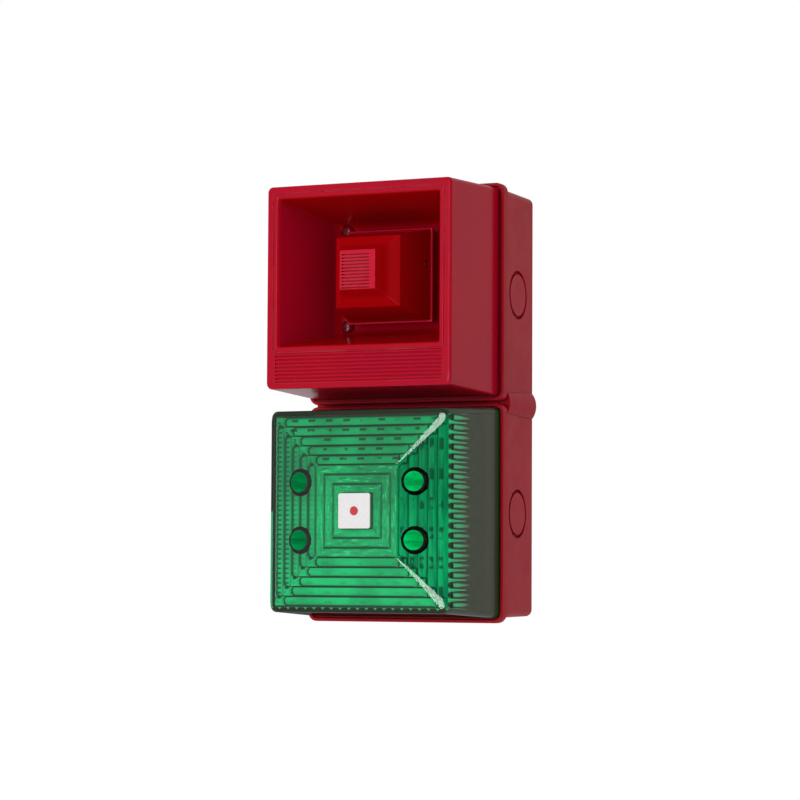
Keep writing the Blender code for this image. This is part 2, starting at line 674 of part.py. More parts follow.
def horn_plug(shop, module):
    """Hollow cup in the mouth that turns the sound round into the flare."""
    plug = add_part(shop, "horn_plug", stacked_block(
        [(y, 2 * half, 2 * half, HORN_AXIS_Z) for y, half in PLUG_SECTIONS]), shop.red, module)
    hollow = []
    for y, half in PLUG_SECTIONS:
        inner = 2 * (half - PLUG_WALL)
        hollow.append((y + PLUG_WALL, inner, inner, HORN_AXIS_Z))
    shape(shop, plug, stacked_block(hollow))
    face_y = PLUG_SECTIONS[-1][0]
    half = PLUG_SECTIONS[-1][1] - PLUG_FACE_BORDER
    grooves = []
    for index in range(PLUG_GROOVES):
        z = HORN_AXIS_Z + (index - (PLUG_GROOVES - 1) / 2) * PLUG_GROOVE_PITCH
        grooves.append(block((-half, face_y - MM, z - PLUG_GROOVE_WIDTH / 2),
                             (half, face_y + PLUG_GROOVE_DEPTH, z + PLUG_GROOVE_WIDTH / 2)))
    shape(shop, plug, merged(grooves))
    holes = []
    for side in SIGNS:
        holes.append(drum(PLUG_SCREW_R + GAP, side * PLUG_POST_X,
                          side * (PLUG_SECTIONS[0][1] + MM), "X",
                          (PLUG_SCREW_Y, HORN_AXIS_Z + PLUG_SCREW_Z), SHANK_SIDES))
    shape(shop, plug, merged(holes))


def plug_screws(shop, module):
    """Two short screws through the sides of the plug into posts on the throat floor."""
    surface = plug_half_width(PLUG_SCREW_Y)
    for name, side in (("plug_screw_left", -1), ("plug_screw_right", 1)):
        screw = add_part(shop, name, drum(
            PLUG_SCREW_R, side * (surface - PLUG_WALL), side * surface, "X", steps=SHANK_SIDES),
            shop.steel, module, (0.0, PLUG_SCREW_Y, HORN_AXIS_Z + PLUG_SCREW_Z))
        shape(shop, screw, drum(PLUG_SHANK_R, side * (PLUG_POST_X + MM),
                                side * (surface - MM), "X", steps=PAN_SIDES), "UNION")


def cover_screw(shop, name, module, at, seat_y, length):
    """Pan head screw with a cross recess, its origin under the head."""
    screw = add_part(shop, name, drum(
        COVER_HEAD_R, 0.0, -COVER_HEAD_HEIGHT, "Y", steps=BOSS_SIDES), shop.steel, module,
        (at[0], seat_y - GAP, at[1]))
    shape(shop, screw, drum(COVER_SCREW_R, -MM, length, "Y", steps=SHANK_SIDES), "UNION")
    front = -COVER_HEAD_HEIGHT
    for half_x, half_z in ((CROSS_ARM, CROSS_HALF_WIDTH), (CROSS_HALF_WIDTH, CROSS_ARM)):
        shape(shop, screw, block((-half_x, front - MM, -half_z),
                                 (half_x, front + CROSS_DEPTH, half_z)))


def board_screw(shop, name, module, at, seat_y, facing):
    """Small board screw; facing is +1 when its head looks to the wall, -1 to the front."""
    screw = add_part(shop, name, drum(
        BOARD_HEAD_R, 0.0, facing * BOARD_HEAD_HEIGHT, "Y", steps=PAN_SIDES), shop.steel, module,
        (at[0], seat_y + facing * GAP, at[1]))
    shape(shop, screw, drum(BOARD_SCREW_R, facing * MM, -facing * BOARD_SCREW_LENGTH, "Y",
                            steps=THREAD_SIDES), "UNION")
    slot_floor = facing * (BOARD_HEAD_HEIGHT - BOARD_SLOT_DEPTH)
    clear_of_head = facing * (BOARD_HEAD_HEIGHT + MM)
    shape(shop, screw, block(
        (-2 * BOARD_HEAD_R, min(slot_floor, clear_of_head), -BOARD_SLOT_HALF),
        (2 * BOARD_HEAD_R, max(slot_floor, clear_of_head), BOARD_SLOT_HALF)))


def driver(shop, module):
    """Moving coil driver: can, magnet between two iron parts, and the moving diaphragm."""
    axis = (0.0, HORN_AXIS_Z)
    front = THROAT_BACK_Y + GAP
    can = add_part(shop, "driver_can", drum(CAN_R, CAN_BACK_Y, front, "Y", axis, ROUND_SIDES),
                   shop.black, module)
    shape(shop, can, drum(CAN_R - CAN_WALL, CAN_BACK_Y + MM, front + CAN_WALL, "Y", axis,
                          ROUND_SIDES))
    shape(shop, can, drum(CAN_OPENING_R, front + CAN_FRONT, front - MM, "Y", axis, ROUND_SIDES))
    plate_front = DIAPHRAGM_Y + PLATE_SET_BACK
    plate_back = plate_front + PLATE_THICKNESS
    plate = add_part(shop, "driver_top_plate", drum(
        MAGNET_R, plate_back, plate_front, "Y", axis, ROUND_SIDES), shop.steel, module)
    shape(shop, plate, drum(PLATE_HOLE_R, plate_back + MM, plate_front - MM, "Y", axis,
                            ROUND_SIDES))
    magnet_front = plate_back + GAP
    magnet_back = magnet_front + MAGNET_THICKNESS
    magnet = add_part(shop, "driver_magnet", drum(
        MAGNET_R, magnet_back, magnet_front, "Y", axis, ROUND_SIDES), shop.ferrite, module)
    shape(shop, magnet, drum(MAGNET_HOLE_R, magnet_back + MM, magnet_front - MM, "Y", axis,
                             ROUND_SIDES))
    yoke_front = magnet_back + GAP
    yoke = add_part(shop, "driver_yoke", drum(
        MAGNET_R, CAN_BACK_Y - GAP, yoke_front, "Y", axis, ROUND_SIDES), shop.steel, module)
    shape(shop, yoke, drum(POLE_R, yoke_front + MM, plate_front, "Y", axis, ROUND_SIDES), "UNION")


def diaphragm(shop, module):
    """Thin dome and flat surround, with the voice coil hung behind it."""
    thin = DIAPHRAGM_THICKNESS
    flat = COIL_R + DIAPHRAGM_FLAT
    arc_steps = 3
    front = []
    for index in range(arc_steps + 1):
        share = index / arc_steps
        front.append((flat * share, DOME_RISE * (1 - share * share)))
    front.append((DIAPHRAGM_R, 0.0))
    back = [(radius, height - thin) for radius, height in reversed(front)]
    cone = turned(front + back, ROUND_SIDES, "diaphragm")
    cone.data.materials.append(shop.film)
    shop.parts.objects.link(cone)
    cone.parent = module
    cone.location = (0.0, DIAPHRAGM_Y, HORN_AXIS_Z)
    cone.rotation_euler = (math.radians(90), 0.0, 0.0)
    coil_front = DIAPHRAGM_Y + thin + GAP
    coil = add_part(shop, "voice_coil", drum(
        COIL_R + COIL_WALL, coil_front + COIL_LENGTH, coil_front, "Y", steps=ROUND_SIDES),
        shop.copper, module, (0.0, 0.0, HORN_AXIS_Z))
    shape(shop, coil, drum(COIL_R, coil_front + COIL_LENGTH + MM, coil_front - MM, "Y",
                           steps=ROUND_SIDES))


def board(shop, name, module, front_y, through, screws):
    """Glass-epoxy board with clearance holes for the bosses that pass it."""
    back_y = front_y + BOARD_THICKNESS
    panel = add_part(shop, name, plate_section(BOARD_SIZE, BOARD_CORNER, back_y, front_y),
                     shop.board, module)
    holes = [drum(BOARD_HOLE_R, back_y + MM, front_y - MM, "Y", at, BOSS_SIDES) for at in through]
    holes += [drum(BOARD_SCREW_R + GAP, back_y + MM, front_y - MM, "Y", at, THREAD_SIDES)
              for at in screws]
    shape(shop, panel, merged(holes))


def terminal_block(shop, name, module, centre, back_y, front_y, mouths):
    """Screw terminal block; mouths is +1 when its wire mouths look up, -1 when they look down."""
    half = TERMINAL_WAYS * TERMINAL_PITCH / 2
    x, z = centre
    low_y = min(back_y, front_y)
    high_y = max(back_y, front_y)
    outward = 1 if front_y > back_y else -1
    body = add_part(shop, name, block((x - half, low_y, z - TERMINAL_HALF),
                                      (x + half, high_y, z + TERMINAL_HALF)), shop.blue, module)
    cuts = []
    mouth_from = z + mouths * MM
    mouth_to = z + mouths * (TERMINAL_HALF + MM)
    for index in range(TERMINAL_WAYS):
        way_x = x - half + (index + 0.5) * TERMINAL_PITCH
        middle = back_y + outward * TERMINAL_MOUTH
        cuts.append(block(
            (way_x - TERMINAL_MOUTH_HALF, middle - TERMINAL_MOUTH_HALF,
             min(mouth_from, mouth_to)),
            (way_x + TERMINAL_MOUTH_HALF, middle + TERMINAL_MOUTH_HALF,
             max(mouth_from, mouth_to))))
        cuts.append(drum(TERMINAL_SCREW_R, front_y + outward * MM,
                         front_y - outward * TERMINAL_SCREW_DEPTH, "Y", (way_x, z), SHANK_SIDES))
    shape(shop, body, merged(cuts))


def sounder_electronics(shop, module):
    """Board behind the driver, with its tone switches and volume control facing the wall."""
    back = SOUNDER_BOARD_Y + BOARD_THICKNESS
    seat = back + GAP
    board(shop, "sounder_board", module, SOUNDER_BOARD_Y, horn_screw_places(),
          board_screw_places())
    for index, at in enumerate(board_screw_places()):
        board_screw(shop, f"sounder_board_screw_{index + 1}", module, at, back, 1)
    terminal_block(shop, "sounder_terminals", module, (0.0, -SOUNDER_TERMINALS_Z), seat,
                   seat + TERMINAL_HEIGHT, -1)
    tone_switch(shop, module, seat)
    volume_control(shop, module, seat)
    add_part(shop, "sounder_capacitor", drum(
        SOUNDER_CAPACITOR_R, -SOUNDER_CAPACITOR_HALF, SOUNDER_CAPACITOR_HALF, "X",
        (seat + SOUNDER_CAPACITOR_R, SOUNDER_CAPACITOR_Z), TURNED_SIDES), shop.black, module)
    transformer(shop, "sounder_transformer", module, SOUNDER_TRANSFORMER_AT, seat, 1)


def transformer(shop, name, module, centre, seat, outward):
    """Small laminated core with its winding showing on two sides."""
    x, z = centre
    half_x, half_z = CORE_HALF
    far = seat + outward * CORE_DEPTH
    core = add_part(shop, name, block(
        (x - half_x, min(seat, far), z - half_z), (x + half_x, max(seat, far), z + half_z)),
        shop.ferrite, module)
    wound_x, wound_z = WINDING_HALF
    wound_from = seat + outward * WINDING_INSET
    wound_to = far - outward * WINDING_INSET
    shape(shop, core, block((x - wound_x, min(wound_from, wound_to), z - wound_z),
                            (x + wound_x, max(wound_from, wound_to), z + wound_z)), "UNION")


def tone_switch(shop, module, seat):
    """Row of slide switches; each lever is a piece of its own in its slot."""
    x, z = TONE_SWITCH_AT
    half = TONE_LEVERS * TONE_PITCH / 2
    top = seat + TONE_HEIGHT
    slot_floor = seat + TONE_SLOT_FLOOR
    body = add_part(shop, "tone_switch", block(
        (x - half, seat, z - TONE_HALF_DEPTH), (x + half, top, z + TONE_HALF_DEPTH)),
        shop.blue, module)
    lever_half = TONE_LEVER_SIZE / 2
    slot_half = (TONE_LEVER_SIZE + TONE_TRAVEL) / 2 + GAP
    slots = []
    for index in range(TONE_LEVERS):
        lever_x = x - half + (index + 0.5) * TONE_PITCH
        slots.append(block((lever_x - lever_half - GAP, slot_floor, z - slot_half),
                           (lever_x + lever_half + GAP, top + MM, z + slot_half)))
        add_part(shop, f"tone_lever_{index + 1}", block(
            (-lever_half, slot_floor + GAP, 0.0),
            (lever_half, top + TONE_LEVER_RISE, TONE_LEVER_SIZE)),
            shop.white, module, (lever_x, 0.0, z - slot_half + GAP))
    shape(shop, body, merged(slots))


def volume_control(shop, module, seat):
    """Trimmer: square body with a slotted rotor that turns in it."""
    x, z = VOLUME_AT
    top = seat + VOLUME_HEIGHT
    body = add_part(shop, "volume_control", block(
        (x - VOLUME_HALF, seat, z - VOLUME_HALF), (x + VOLUME_HALF, top, z + VOLUME_HALF)),
        shop.blue, module)
    shape(shop, body, drum(VOLUME_ROTOR_R + GAP, seat + VOLUME_SEAT, top + MM, "Y", (x, z)))
    rotor = add_part(shop, "volume_rotor", drum(
        VOLUME_ROTOR_R, seat + VOLUME_SEAT + GAP, top + VOLUME_RISE, "Y"),
        shop.white, module, (x, 0.0, z))
    half_length, half_width = VOLUME_SLOT
    shape(shop, rotor, block((-half_length, top - VOLUME_SLOT_FLOOR, -half_width),
                             (half_length, top + 2 * MM, half_width)))


# ---------------------------------------------------------------- beacon

def beacon_lens(shop, module):
    """Deep moulded cover with a low pyramid front and four screw wells."""
    plateau = (PLATEAU_SIZE, PLATEAU_SIZE)
    lens = add_part(shop, "beacon_lens", stacked_block((
        (LENS_BACK_Y, *LENS_BACK, 0.0), (LENS_FRONT_Y, *LENS_FRONT, 0.0),
        (PLATEAU_Y, *plateau, 0.0)), LENS_CORNER), shop.green, module)
    inset = 2 * LENS_WALL
    shape(shop, lens, stacked_block((
        (LENS_BACK_Y + MM, LENS_BACK[0] - inset, LENS_BACK[1] - inset, 0.0),
        (LENS_FRONT_Y + LENS_WALL, LENS_FRONT[0] - inset, LENS_FRONT[1] - inset, 0.0),
        (PLATEAU_Y + LENS_WALL, *plateau, 0.0))))
    front = well_front_y()
    wells = [drum(WELL_R, WELL_END_Y, front + LENS_WALL / 2, "Y", at, TURNED_SIDES)
             for at in lens_screw_places()]
    shape(shop, lens, merged(wells), "UNION")
    bores = [drum(WELL_BORE_R, WELL_END_Y - WELL_FLOOR, PLATEAU_Y - MM, "Y", at, TURNED_SIDES)
             for at in lens_screw_places()]
    shape(shop, lens, merged(bores))
    holes = [drum(COVER_SCREW_R + GAP, WELL_END_Y + MM, WELL_END_Y - WELL_FLOOR - MM, "Y", at,
                  SHANK_SIDES)
             for at in lens_screw_places()]
    shape(shop, lens, merged(holes))
    half = LABEL_SIZE / 2 + GAP
    shape(shop, lens, block((-half, PLATEAU_Y - MM, -half), (half, PLATEAU_Y + LABEL_RECESS, half)))
    back = PLATEAU_Y + LABEL_RECESS - GAP
    add_part(shop, "lens_label", plate_section(
        (LABEL_SIZE, LABEL_SIZE), MM, back, back - LABEL_THICKNESS), shop.label, module)


def well_front_y():
    """Depth of the lens facet at a screw well."""
    run = LENS_FRONT[0] / 2 - PLATEAU_SIZE / 2
    share = (LENS_FRONT[0] / 2 - LENS_SCREW_AT[0]) / run
    return LENS_FRONT_Y - PLATEAU_RISE * share


def reflector(shop, module):
    """White tray in front of the beacon board, stepped on to the lens screw bosses."""
    back_y = REFLECTOR_Y + REFLECTOR_SHEET
    tray = add_part(shop, "reflector", plate_section(
        REFLECTOR_SIZE, REFLECTOR_CORNER, back_y, REFLECTOR_Y - REFLECTOR_RIM),
        shop.white, module)
    inner = (REFLECTOR_SIZE[0] - 2 * REFLECTOR_SHEET, REFLECTOR_SIZE[1] - 2 * REFLECTOR_SHEET)
    shape(shop, tray, plate_section(
        inner, REFLECTOR_CORNER, REFLECTOR_Y, REFLECTOR_Y - REFLECTOR_RIM - MM))
    holes = [drum(LENS_BOSS_TIP_R + GAP, back_y + MM, REFLECTOR_Y - MM, "Y", at, BOSS_SIDES)
             for at in lens_screw_places()]
    shape(shop, tray, merged(holes))


def flash_tube(shop, module):
    """Straight xenon tube between two spring clips that stand on the reflector."""
    half = FLASH_TUBE_LENGTH / 2
    tube = add_part(shop, "flash_tube", drum(
        FLASH_TUBE_R, -half, half, "X", steps=TUBE_SIDES), shop.glass, module,
        (0.0, FLASH_TUBE_Y, 0.0))
    shape(shop, tube, drum(FLASH_TUBE_BORE_R, -half - MM, half + MM, "X", steps=TUBE_SIDES))
    for name, side in (("tube_clip_left", -1), ("tube_clip_right", 1)):
        ends = sorted(side * (half - inset) for inset in CLIP_ENDS)
        clip = add_part(shop, name, block(
            (ends[0], FLASH_TUBE_Y - CLIP_HALF, -CLIP_HALF),
            (ends[1], REFLECTOR_Y - GAP, CLIP_HALF)), shop.steel, module)
        shape(shop, clip, drum(FLASH_TUBE_R + GAP, ends[0] - MM, ends[1] + MM, "X",
                               (FLASH_TUBE_Y, 0.0), TUBE_SIDES))
        shape(shop, clip, block(
            (ends[0] - MM, FLASH_TUBE_Y - CLIP_MOUTH[0], -CLIP_MOUTH_HALF),
            (ends[1] + MM, FLASH_TUBE_Y - CLIP_MOUTH[1], CLIP_MOUTH_HALF)))
        shape(shop, clip, block(
            (ends[0] - MM, FLASH_TUBE_Y + CLIP_WINDOW_FROM, -CLIP_WINDOW_HALF),
            (ends[1] + MM, REFLECTOR_Y - CLIP_FOOT, CLIP_WINDOW_HALF)))


def beacon_electronics(shop, module):
    """Board behind the reflector with the flash circuit's main parts."""
    board(shop, "beacon_board", module, BEACON_BOARD_Y, lens_screw_places(), board_screw_places())
    for index, at in enumerate(board_screw_places()):
        board_screw(shop, f"beacon_board_screw_{index + 1}", module, at, BEACON_BOARD_Y, -1)
    seat = BEACON_BOARD_Y - GAP
    add_part(shop, "flash_capacitor", drum(
        FLASH_CAPACITOR_R, -FLASH_CAPACITOR_HALF, FLASH_CAPACITOR_HALF, "X",
        (seat - FLASH_CAPACITOR_R, FLASH_CAPACITOR_Z), ROUND_SIDES), shop.black, module)
    add_part(shop, "trigger_coil", drum(
        TRIGGER_COIL_R, seat, seat - TRIGGER_COIL_HEIGHT, "Y", TRIGGER_COIL_AT, TURNED_SIDES),
        shop.copper, module)
    transformer(shop, "beacon_transformer", module, BEACON_TRANSFORMER_AT, seat, -1)
    terminal_block(shop, "beacon_terminals", module, (0.0, BEACON_TERMINALS_Z), seat,
                   seat - TERMINAL_HEIGHT, 1)


def screws(shop, upper, lower):
    names = ("upper_left", "upper_right", "lower_left", "lower_right")
    for place, at in zip(names, horn_screw_places()):
        cover_screw(shop, f"horn_screw_{place}", upper, at, THROAT_Y, COVER_SCREW_LENGTH)
    for place, at in zip(names, lens_screw_places()):
        cover_screw(shop, f"lens_screw_{place}", lower, at, WELL_END_Y - WELL_FLOOR,
                    LENS_SCREW_LENGTH)


def build():
    clear_scene()
    shop = Workshop()
    upper = new_empty("upper_module", shop.parts, (0.0, 0.0, UPPER_Z))
    lower = new_empty("lower_module", shop.parts, (0.0, 0.0, LOWER_Z))
    upper_box(shop, upper)
    lower_box(shop, lower)
    gasket(shop, "upper_gasket", upper)
    gasket(shop, "lower_gasket", lower)
    link_spacer(shop)
    link_bush(shop)
    link_wires(shop)
    horn_housing(shop, upper)
    horn_plug(shop, upper)
    plug_screws(shop, upper)
    driver(shop, upper)
    diaphragm(shop, upper)
    sounder_electronics(shop, upper)
    beacon_lens(shop, lower)
    reflector(shop, lower)
    flash_tube(shop, lower)
    beacon_electronics(shop, lower)
    screws(shop, upper, lower)


build()
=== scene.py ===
"""Looks of the wall sounder and beacon: fine meshes, procedural materials, light and camera.

Lengths are metres. Each moulding is a loft of rounded rectangles or a turned profile, placed
by the boxes of the CAD nodes that it stands for. Z is up and the front faces -Y.
"""

import json
import math

import bmesh
import bpy
import numpy as np
from mathutils import Matrix, Vector


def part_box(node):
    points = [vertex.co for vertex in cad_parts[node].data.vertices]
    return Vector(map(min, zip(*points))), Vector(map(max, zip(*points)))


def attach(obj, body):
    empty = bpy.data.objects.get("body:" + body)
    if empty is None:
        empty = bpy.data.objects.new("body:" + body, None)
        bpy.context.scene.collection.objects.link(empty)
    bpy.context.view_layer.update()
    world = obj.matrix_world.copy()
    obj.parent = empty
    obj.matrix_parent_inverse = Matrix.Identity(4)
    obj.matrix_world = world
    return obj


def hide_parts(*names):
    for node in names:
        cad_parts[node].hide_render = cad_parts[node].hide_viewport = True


MM = 0.001
SIDES = (-1, 1)
CORNERS = ((-1, 1), (1, 1), (-1, -1), (1, -1))
CORNER_NAMES = ("upper_left", "upper_right", "lower_left", "lower_right")
BOARD_SCREWS = (1, 2, 3, 4)
ORIGIN = (0.0, 0.0, 0.0)

# Shared mesh quality
CORNER_STEPS = 8
FILLET_STEPS = 5
ROUND_STEPS = 64
BEVEL_STEPS = 3
SMOOTH_ANGLE = math.radians(32)

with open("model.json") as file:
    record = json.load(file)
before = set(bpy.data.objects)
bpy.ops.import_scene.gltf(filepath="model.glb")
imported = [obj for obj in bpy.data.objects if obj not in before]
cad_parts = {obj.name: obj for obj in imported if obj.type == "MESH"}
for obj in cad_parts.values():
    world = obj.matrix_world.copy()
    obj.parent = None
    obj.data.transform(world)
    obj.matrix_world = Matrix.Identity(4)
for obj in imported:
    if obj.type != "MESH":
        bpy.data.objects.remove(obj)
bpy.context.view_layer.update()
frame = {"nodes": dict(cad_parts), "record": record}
BODIES = {node: body for body, nodes in frame["record"]["behaviour"]["bodies"].items()
          for node in nodes}


# ---------------------------------------------------------------- places read from the frame

def span(node):
    """Lowest corner, highest corner, middle and half size of a CAD node."""
    low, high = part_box(node)
    return low, high, (low + high) / 2, (high - low) / 2


HORN_LOW, HORN_HIGH, HORN_MID, HORN_HALF = span("horn_housing")
PLUG_LOW, _, PLUG_MID, _ = span("horn_plug")
LENS_LOW, LENS_HIGH, LENS_MID, LENS_HALF = span("beacon_lens")
UPPER_LOW, _, UPPER_MID, BOX_HALF = span("upper_back_box")
LOWER_MID = span("lower_back_box")[2]
LINK_LOW, _, _, LINK_HALF = span("link_spacer")
BUSH_MID, BUSH_HALF = span("link_bush")[2:]
HORN_AXIS = PLUG_MID.z - HORN_MID.z          # flare axis above the module's centre
LIP_Y = UPPER_LOW.y


# ---------------------------------------------------------------- mesh helpers

def rounded_ring(y, half_x, low_z, high_z, corner):
    """Rounded rectangle at depth y, anticlockwise from the right hand side."""
    points = []
    for side, rise, start in ((1, 1, 0), (-1, 1, 90), (-1, -1, 180), (1, -1, 270)):
        centre_x = side * (half_x - corner)
        centre_z = high_z - corner if rise > 0 else low_z + corner
        for step in range(CORNER_STEPS + 1):
            angle = math.radians(start + 90 * step / CORNER_STEPS)
            points.append(Vector((centre_x + corner * math.cos(angle), y,
                                  centre_z + corner * math.sin(angle))))
    return points


def loft(rings, closed=False, capped=False):
    """Skin over rings of equal count; closed joins the last ring to the first."""
    bm = bmesh.new()
    rows = [[bm.verts.new(point) for point in ring] for ring in rings]
    pairs = list(zip(rows, rows[1:]))
    if closed:
        pairs.append((rows[-1], rows[0]))
    for lower, upper in pairs:
        join_rows(bm, lower, upper, len(lower))
    if capped:
        bm.faces.new(rows[0])
        bm.faces.new(rows[-1])
    bmesh.ops.recalc_face_normals(bm, faces=bm.faces)
    return bm


def join_rows(bm, lower, upper, steps, kind=0):
    """Faces between two rings, either of which may be a single point."""
    for index in range(steps):
        after = (index + 1) % steps
        if len(lower) == 1 and len(upper) == 1:
            return
        if len(lower) == 1:
            corners = (lower[0], upper[after], upper[index])
        elif len(upper) == 1:
            corners = (lower[index], lower[after], upper[0])
        else:
            corners = (lower[index], lower[after], upper[after], upper[index])
        bm.faces.new(corners).material_index = kind


def softened(profile, closed=False):
    """Rounds each corner of a profile; an entry is (values, radius), depth is values[3]."""
    values = [np.array(entry[0], float) for entry in profile]
    count = len(values)
    result = []
    for index, (value, (_, radius)) in enumerate(zip(values, profile)):
        at_end = index in (0, count - 1)
        if radius <= 0.0 or (at_end and not closed):
            result.append(value)
            continue
        before = values[index - 1] - value
        after = values[(index + 1) % count] - value
        start = value + before * min(0.49, radius / run_length(before))
        end = value + after * min(0.49, radius / run_length(after))
        for step in range(FILLET_STEPS + 1):
            t = step / FILLET_STEPS
            result.append((1 - t) ** 2 * start + 2 * t * (1 - t) * value + t * t * end)
    return result


def run_length(step):
    """Length of a profile step across its width and depth."""
    return max(1e-9, math.hypot(step[0], step[3]))


def rect(half_x, half_z, y, corner, centre_z=0.0):
    """Profile entry for a rounded rectangle about a centre height."""
    return (half_x, centre_z - half_z, centre_z + half_z, y, corner)


def square(half, y, corner):
    return rect(half, half, y, corner)


def moulding(profile, closed=False):
    """Loft through a softened profile of rounded rectangles, capped unless closed on itself."""
    rings = [rounded_ring(y, half_x, low, high, corner)
             for half_x, low, high, y, corner in softened(profile, closed)]
    return loft(rings, closed, not closed)


def turned(corners, axis="Y", at=ORIGIN, steps=ROUND_STEPS, closed=False):
    """Solid of revolution of (radius, along, fillet) corners.

    A closed outline makes a ring; the ends of an open one run in to the axis.
    """
    if not closed:
        ends = [[(0.0, along, 0.0)] if radius > 0.0 else []
                for radius, along, _ in (corners[0], corners[-1])]
        corners = [*ends[0], *corners, *ends[1]]
    profile = softened([((radius, 0.0, 0.0, along), fillet) for radius, along, fillet in corners],
                       closed)
    bm = bmesh.new()
    rows = []
    for radius, _, _, along in profile:
        if radius < 1e-9:
            rows.append([bm.verts.new(on_axis(axis, 0.0, 0.0, along, at))])
            continue
        row = []
        for step in range(steps):
            angle = 2 * math.pi * step / steps
            row.append(bm.verts.new(on_axis(
                axis, radius * math.cos(angle), radius * math.sin(angle), along, at)))
        rows.append(row)
    pairs = list(zip(rows, rows[1:]))
    if closed:
        pairs.append((rows[-1], rows[0]))
    for lower, upper in pairs:
        join_rows(bm, lower, upper, steps)
    bmesh.ops.recalc_face_normals(bm, faces=bm.faces)
    return bm


def on_axis(axis, across, up, along, at):
    """Point of a turned solid about X, Y or Z."""
    local = {"X": (along, across, up), "Y": (across, along, up), "Z": (across, up, along)}[axis]
    return Vector(local) + Vector(at)


def drum(radius, start, end, axis="Y", at=ORIGIN, edge=0.0, steps=ROUND_STEPS):
    """Cylinder between two places along an axis, with softened rims."""
    return turned(((radius, start, edge), (radius, end, edge)), axis, at, steps)


def drums(radius, start, end, places, edge=0.0, steps=32):
    """Cylinders along Y at (x, z) places."""
    return [drum(radius, start, end, "Y", (x, 0.0, z), edge, steps) for x, z in places]


def slab(low, high, edge=0.0):
    """Box between two corners with bevelled edges."""
    low = Vector(low)
    high = Vector(high)
    bm = bmesh.new()
    bmesh.ops.create_cube(bm, size=1.0)
    bmesh.ops.scale(bm, vec=high - low, verts=bm.verts)
    bmesh.ops.translate(bm, vec=(low + high) / 2, verts=bm.verts)
    if edge > 0.0:
        bevelled(bm, bm.edges[:], edge)
    return bm


def bevelled(bm, edges, width):
    bmesh.ops.bevel(bm, geom=edges, offset=width, segments=BEVEL_STEPS, profile=0.5,
                    affect="EDGES")


def outline_bar(outline, y_back, y_front, edge):
    """Flat outline of (x, z) points given depth, with bevelled rims."""
    bm = bmesh.new()
    back = [bm.verts.new((x, y_back, z)) for x, z in outline]
    front = [bm.verts.new((x, y_front, z)) for x, z in outline]
    bm.faces.new(back)
    bm.faces.new(front)
    rims = []
    count = len(outline)
    for index in range(count):
        after = (index + 1) % count
        side = bm.faces.new((back[index], back[after], front[after], front[index]))
        rims += [side.edges[0], side.edges[2]]
    bmesh.ops.recalc_face_normals(bm, faces=bm.faces)
    bevelled(bm, rims, edge)
    return bm


def gathered(shells):
    """Several bmeshes in one, each staying its own shell."""
    total = bmesh.new()
    for shell in shells:
        mesh = bpy.data.meshes.new("shell")
        shell.to_mesh(mesh)
        shell.free()
        total.from_mesh(mesh)
        bpy.data.meshes.remove(mesh)
    return total


def in_scene(name, data):
    obj = bpy.data.objects.new(name, data)
    bpy.context.scene.collection.objects.link(obj)
    return obj


def shaped(bm, tool, operation="DIFFERENCE"):
    """Boolean of two bmeshes, with the exact solver."""
    holders = []
    for label, source in (("body", bm), ("tool", tool)):
        mesh = bpy.data.meshes.new(label)
        source.to_mesh(mesh)
        source.free()
        holders.append(in_scene(label, mesh))
    modifier = holders[0].modifiers.new("shape", "BOOLEAN")
    modifier.operation = operation
    modifier.object = holders[1]
    modifier.solver = "EXACT"
    depsgraph = bpy.context.evaluated_depsgraph_get()
    result = bpy.data.meshes.new_from_object(holders[0].evaluated_get(depsgraph))
    fresh = bmesh.new()
    fresh.from_mesh(result)
    bpy.data.meshes.remove(result)
    for obj in holders:
        mesh = obj.data
        bpy.data.objects.remove(obj)
        bpy.data.meshes.remove(mesh)
    return fresh


def raised(bm, z):
    """Moves a bmesh modelled about a module's centre up to it."""
    bmesh.ops.translate(bm, vec=(0.0, 0.0, z), verts=bm.verts)
    return bm


def rotated(bm, angle, axis, centre=ORIGIN):
    bmesh.ops.rotate(bm, cent=centre, matrix=Matrix.Rotation(angle, 3, axis), verts=bm.verts)
    return bm


def painted(bm, kind):
    """Gives every face of a bmesh one of its piece's materials."""
    for face in bm.faces:
        face.material_index = kind
    return bm


def edge_rounding(obj, width, harden=False):
    rounding = obj.modifiers.new("edges", "BEVEL")
    rounding.width = width
    rounding.segments = 2
    rounding.limit_method = "ANGLE"
    rounding.angle_limit = SMOOTH_ANGLE
    rounding.use_clamp_overlap = True
    rounding.harden_normals = harden


def piece(name, bm, materials, node, bevel=0.0, beside=False):
    """Puts a bmesh in the scene as a named piece in place of a CAD node, or beside its piece."""
    mesh = bpy.data.meshes.new(name)
    bm.to_mesh(mesh)
    bm.free()
    for material in materials if isinstance(materials, tuple) else (materials,):
        mesh.materials.append(material)
    mesh.shade_smooth()
    mesh.set_sharp_from_angle(angle=SMOOTH_ANGLE)
    obj = in_scene(name, mesh)
    if bevel > 0.0:
        edge_rounding(obj, bevel)
    obj.modifiers.new("normals", "WEIGHTED_NORMAL").keep_sharp = True
    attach(obj, BODIES[node])
    if not beside:
        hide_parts(node)
    return obj


# ---------------------------------------------------------------- lens sizes

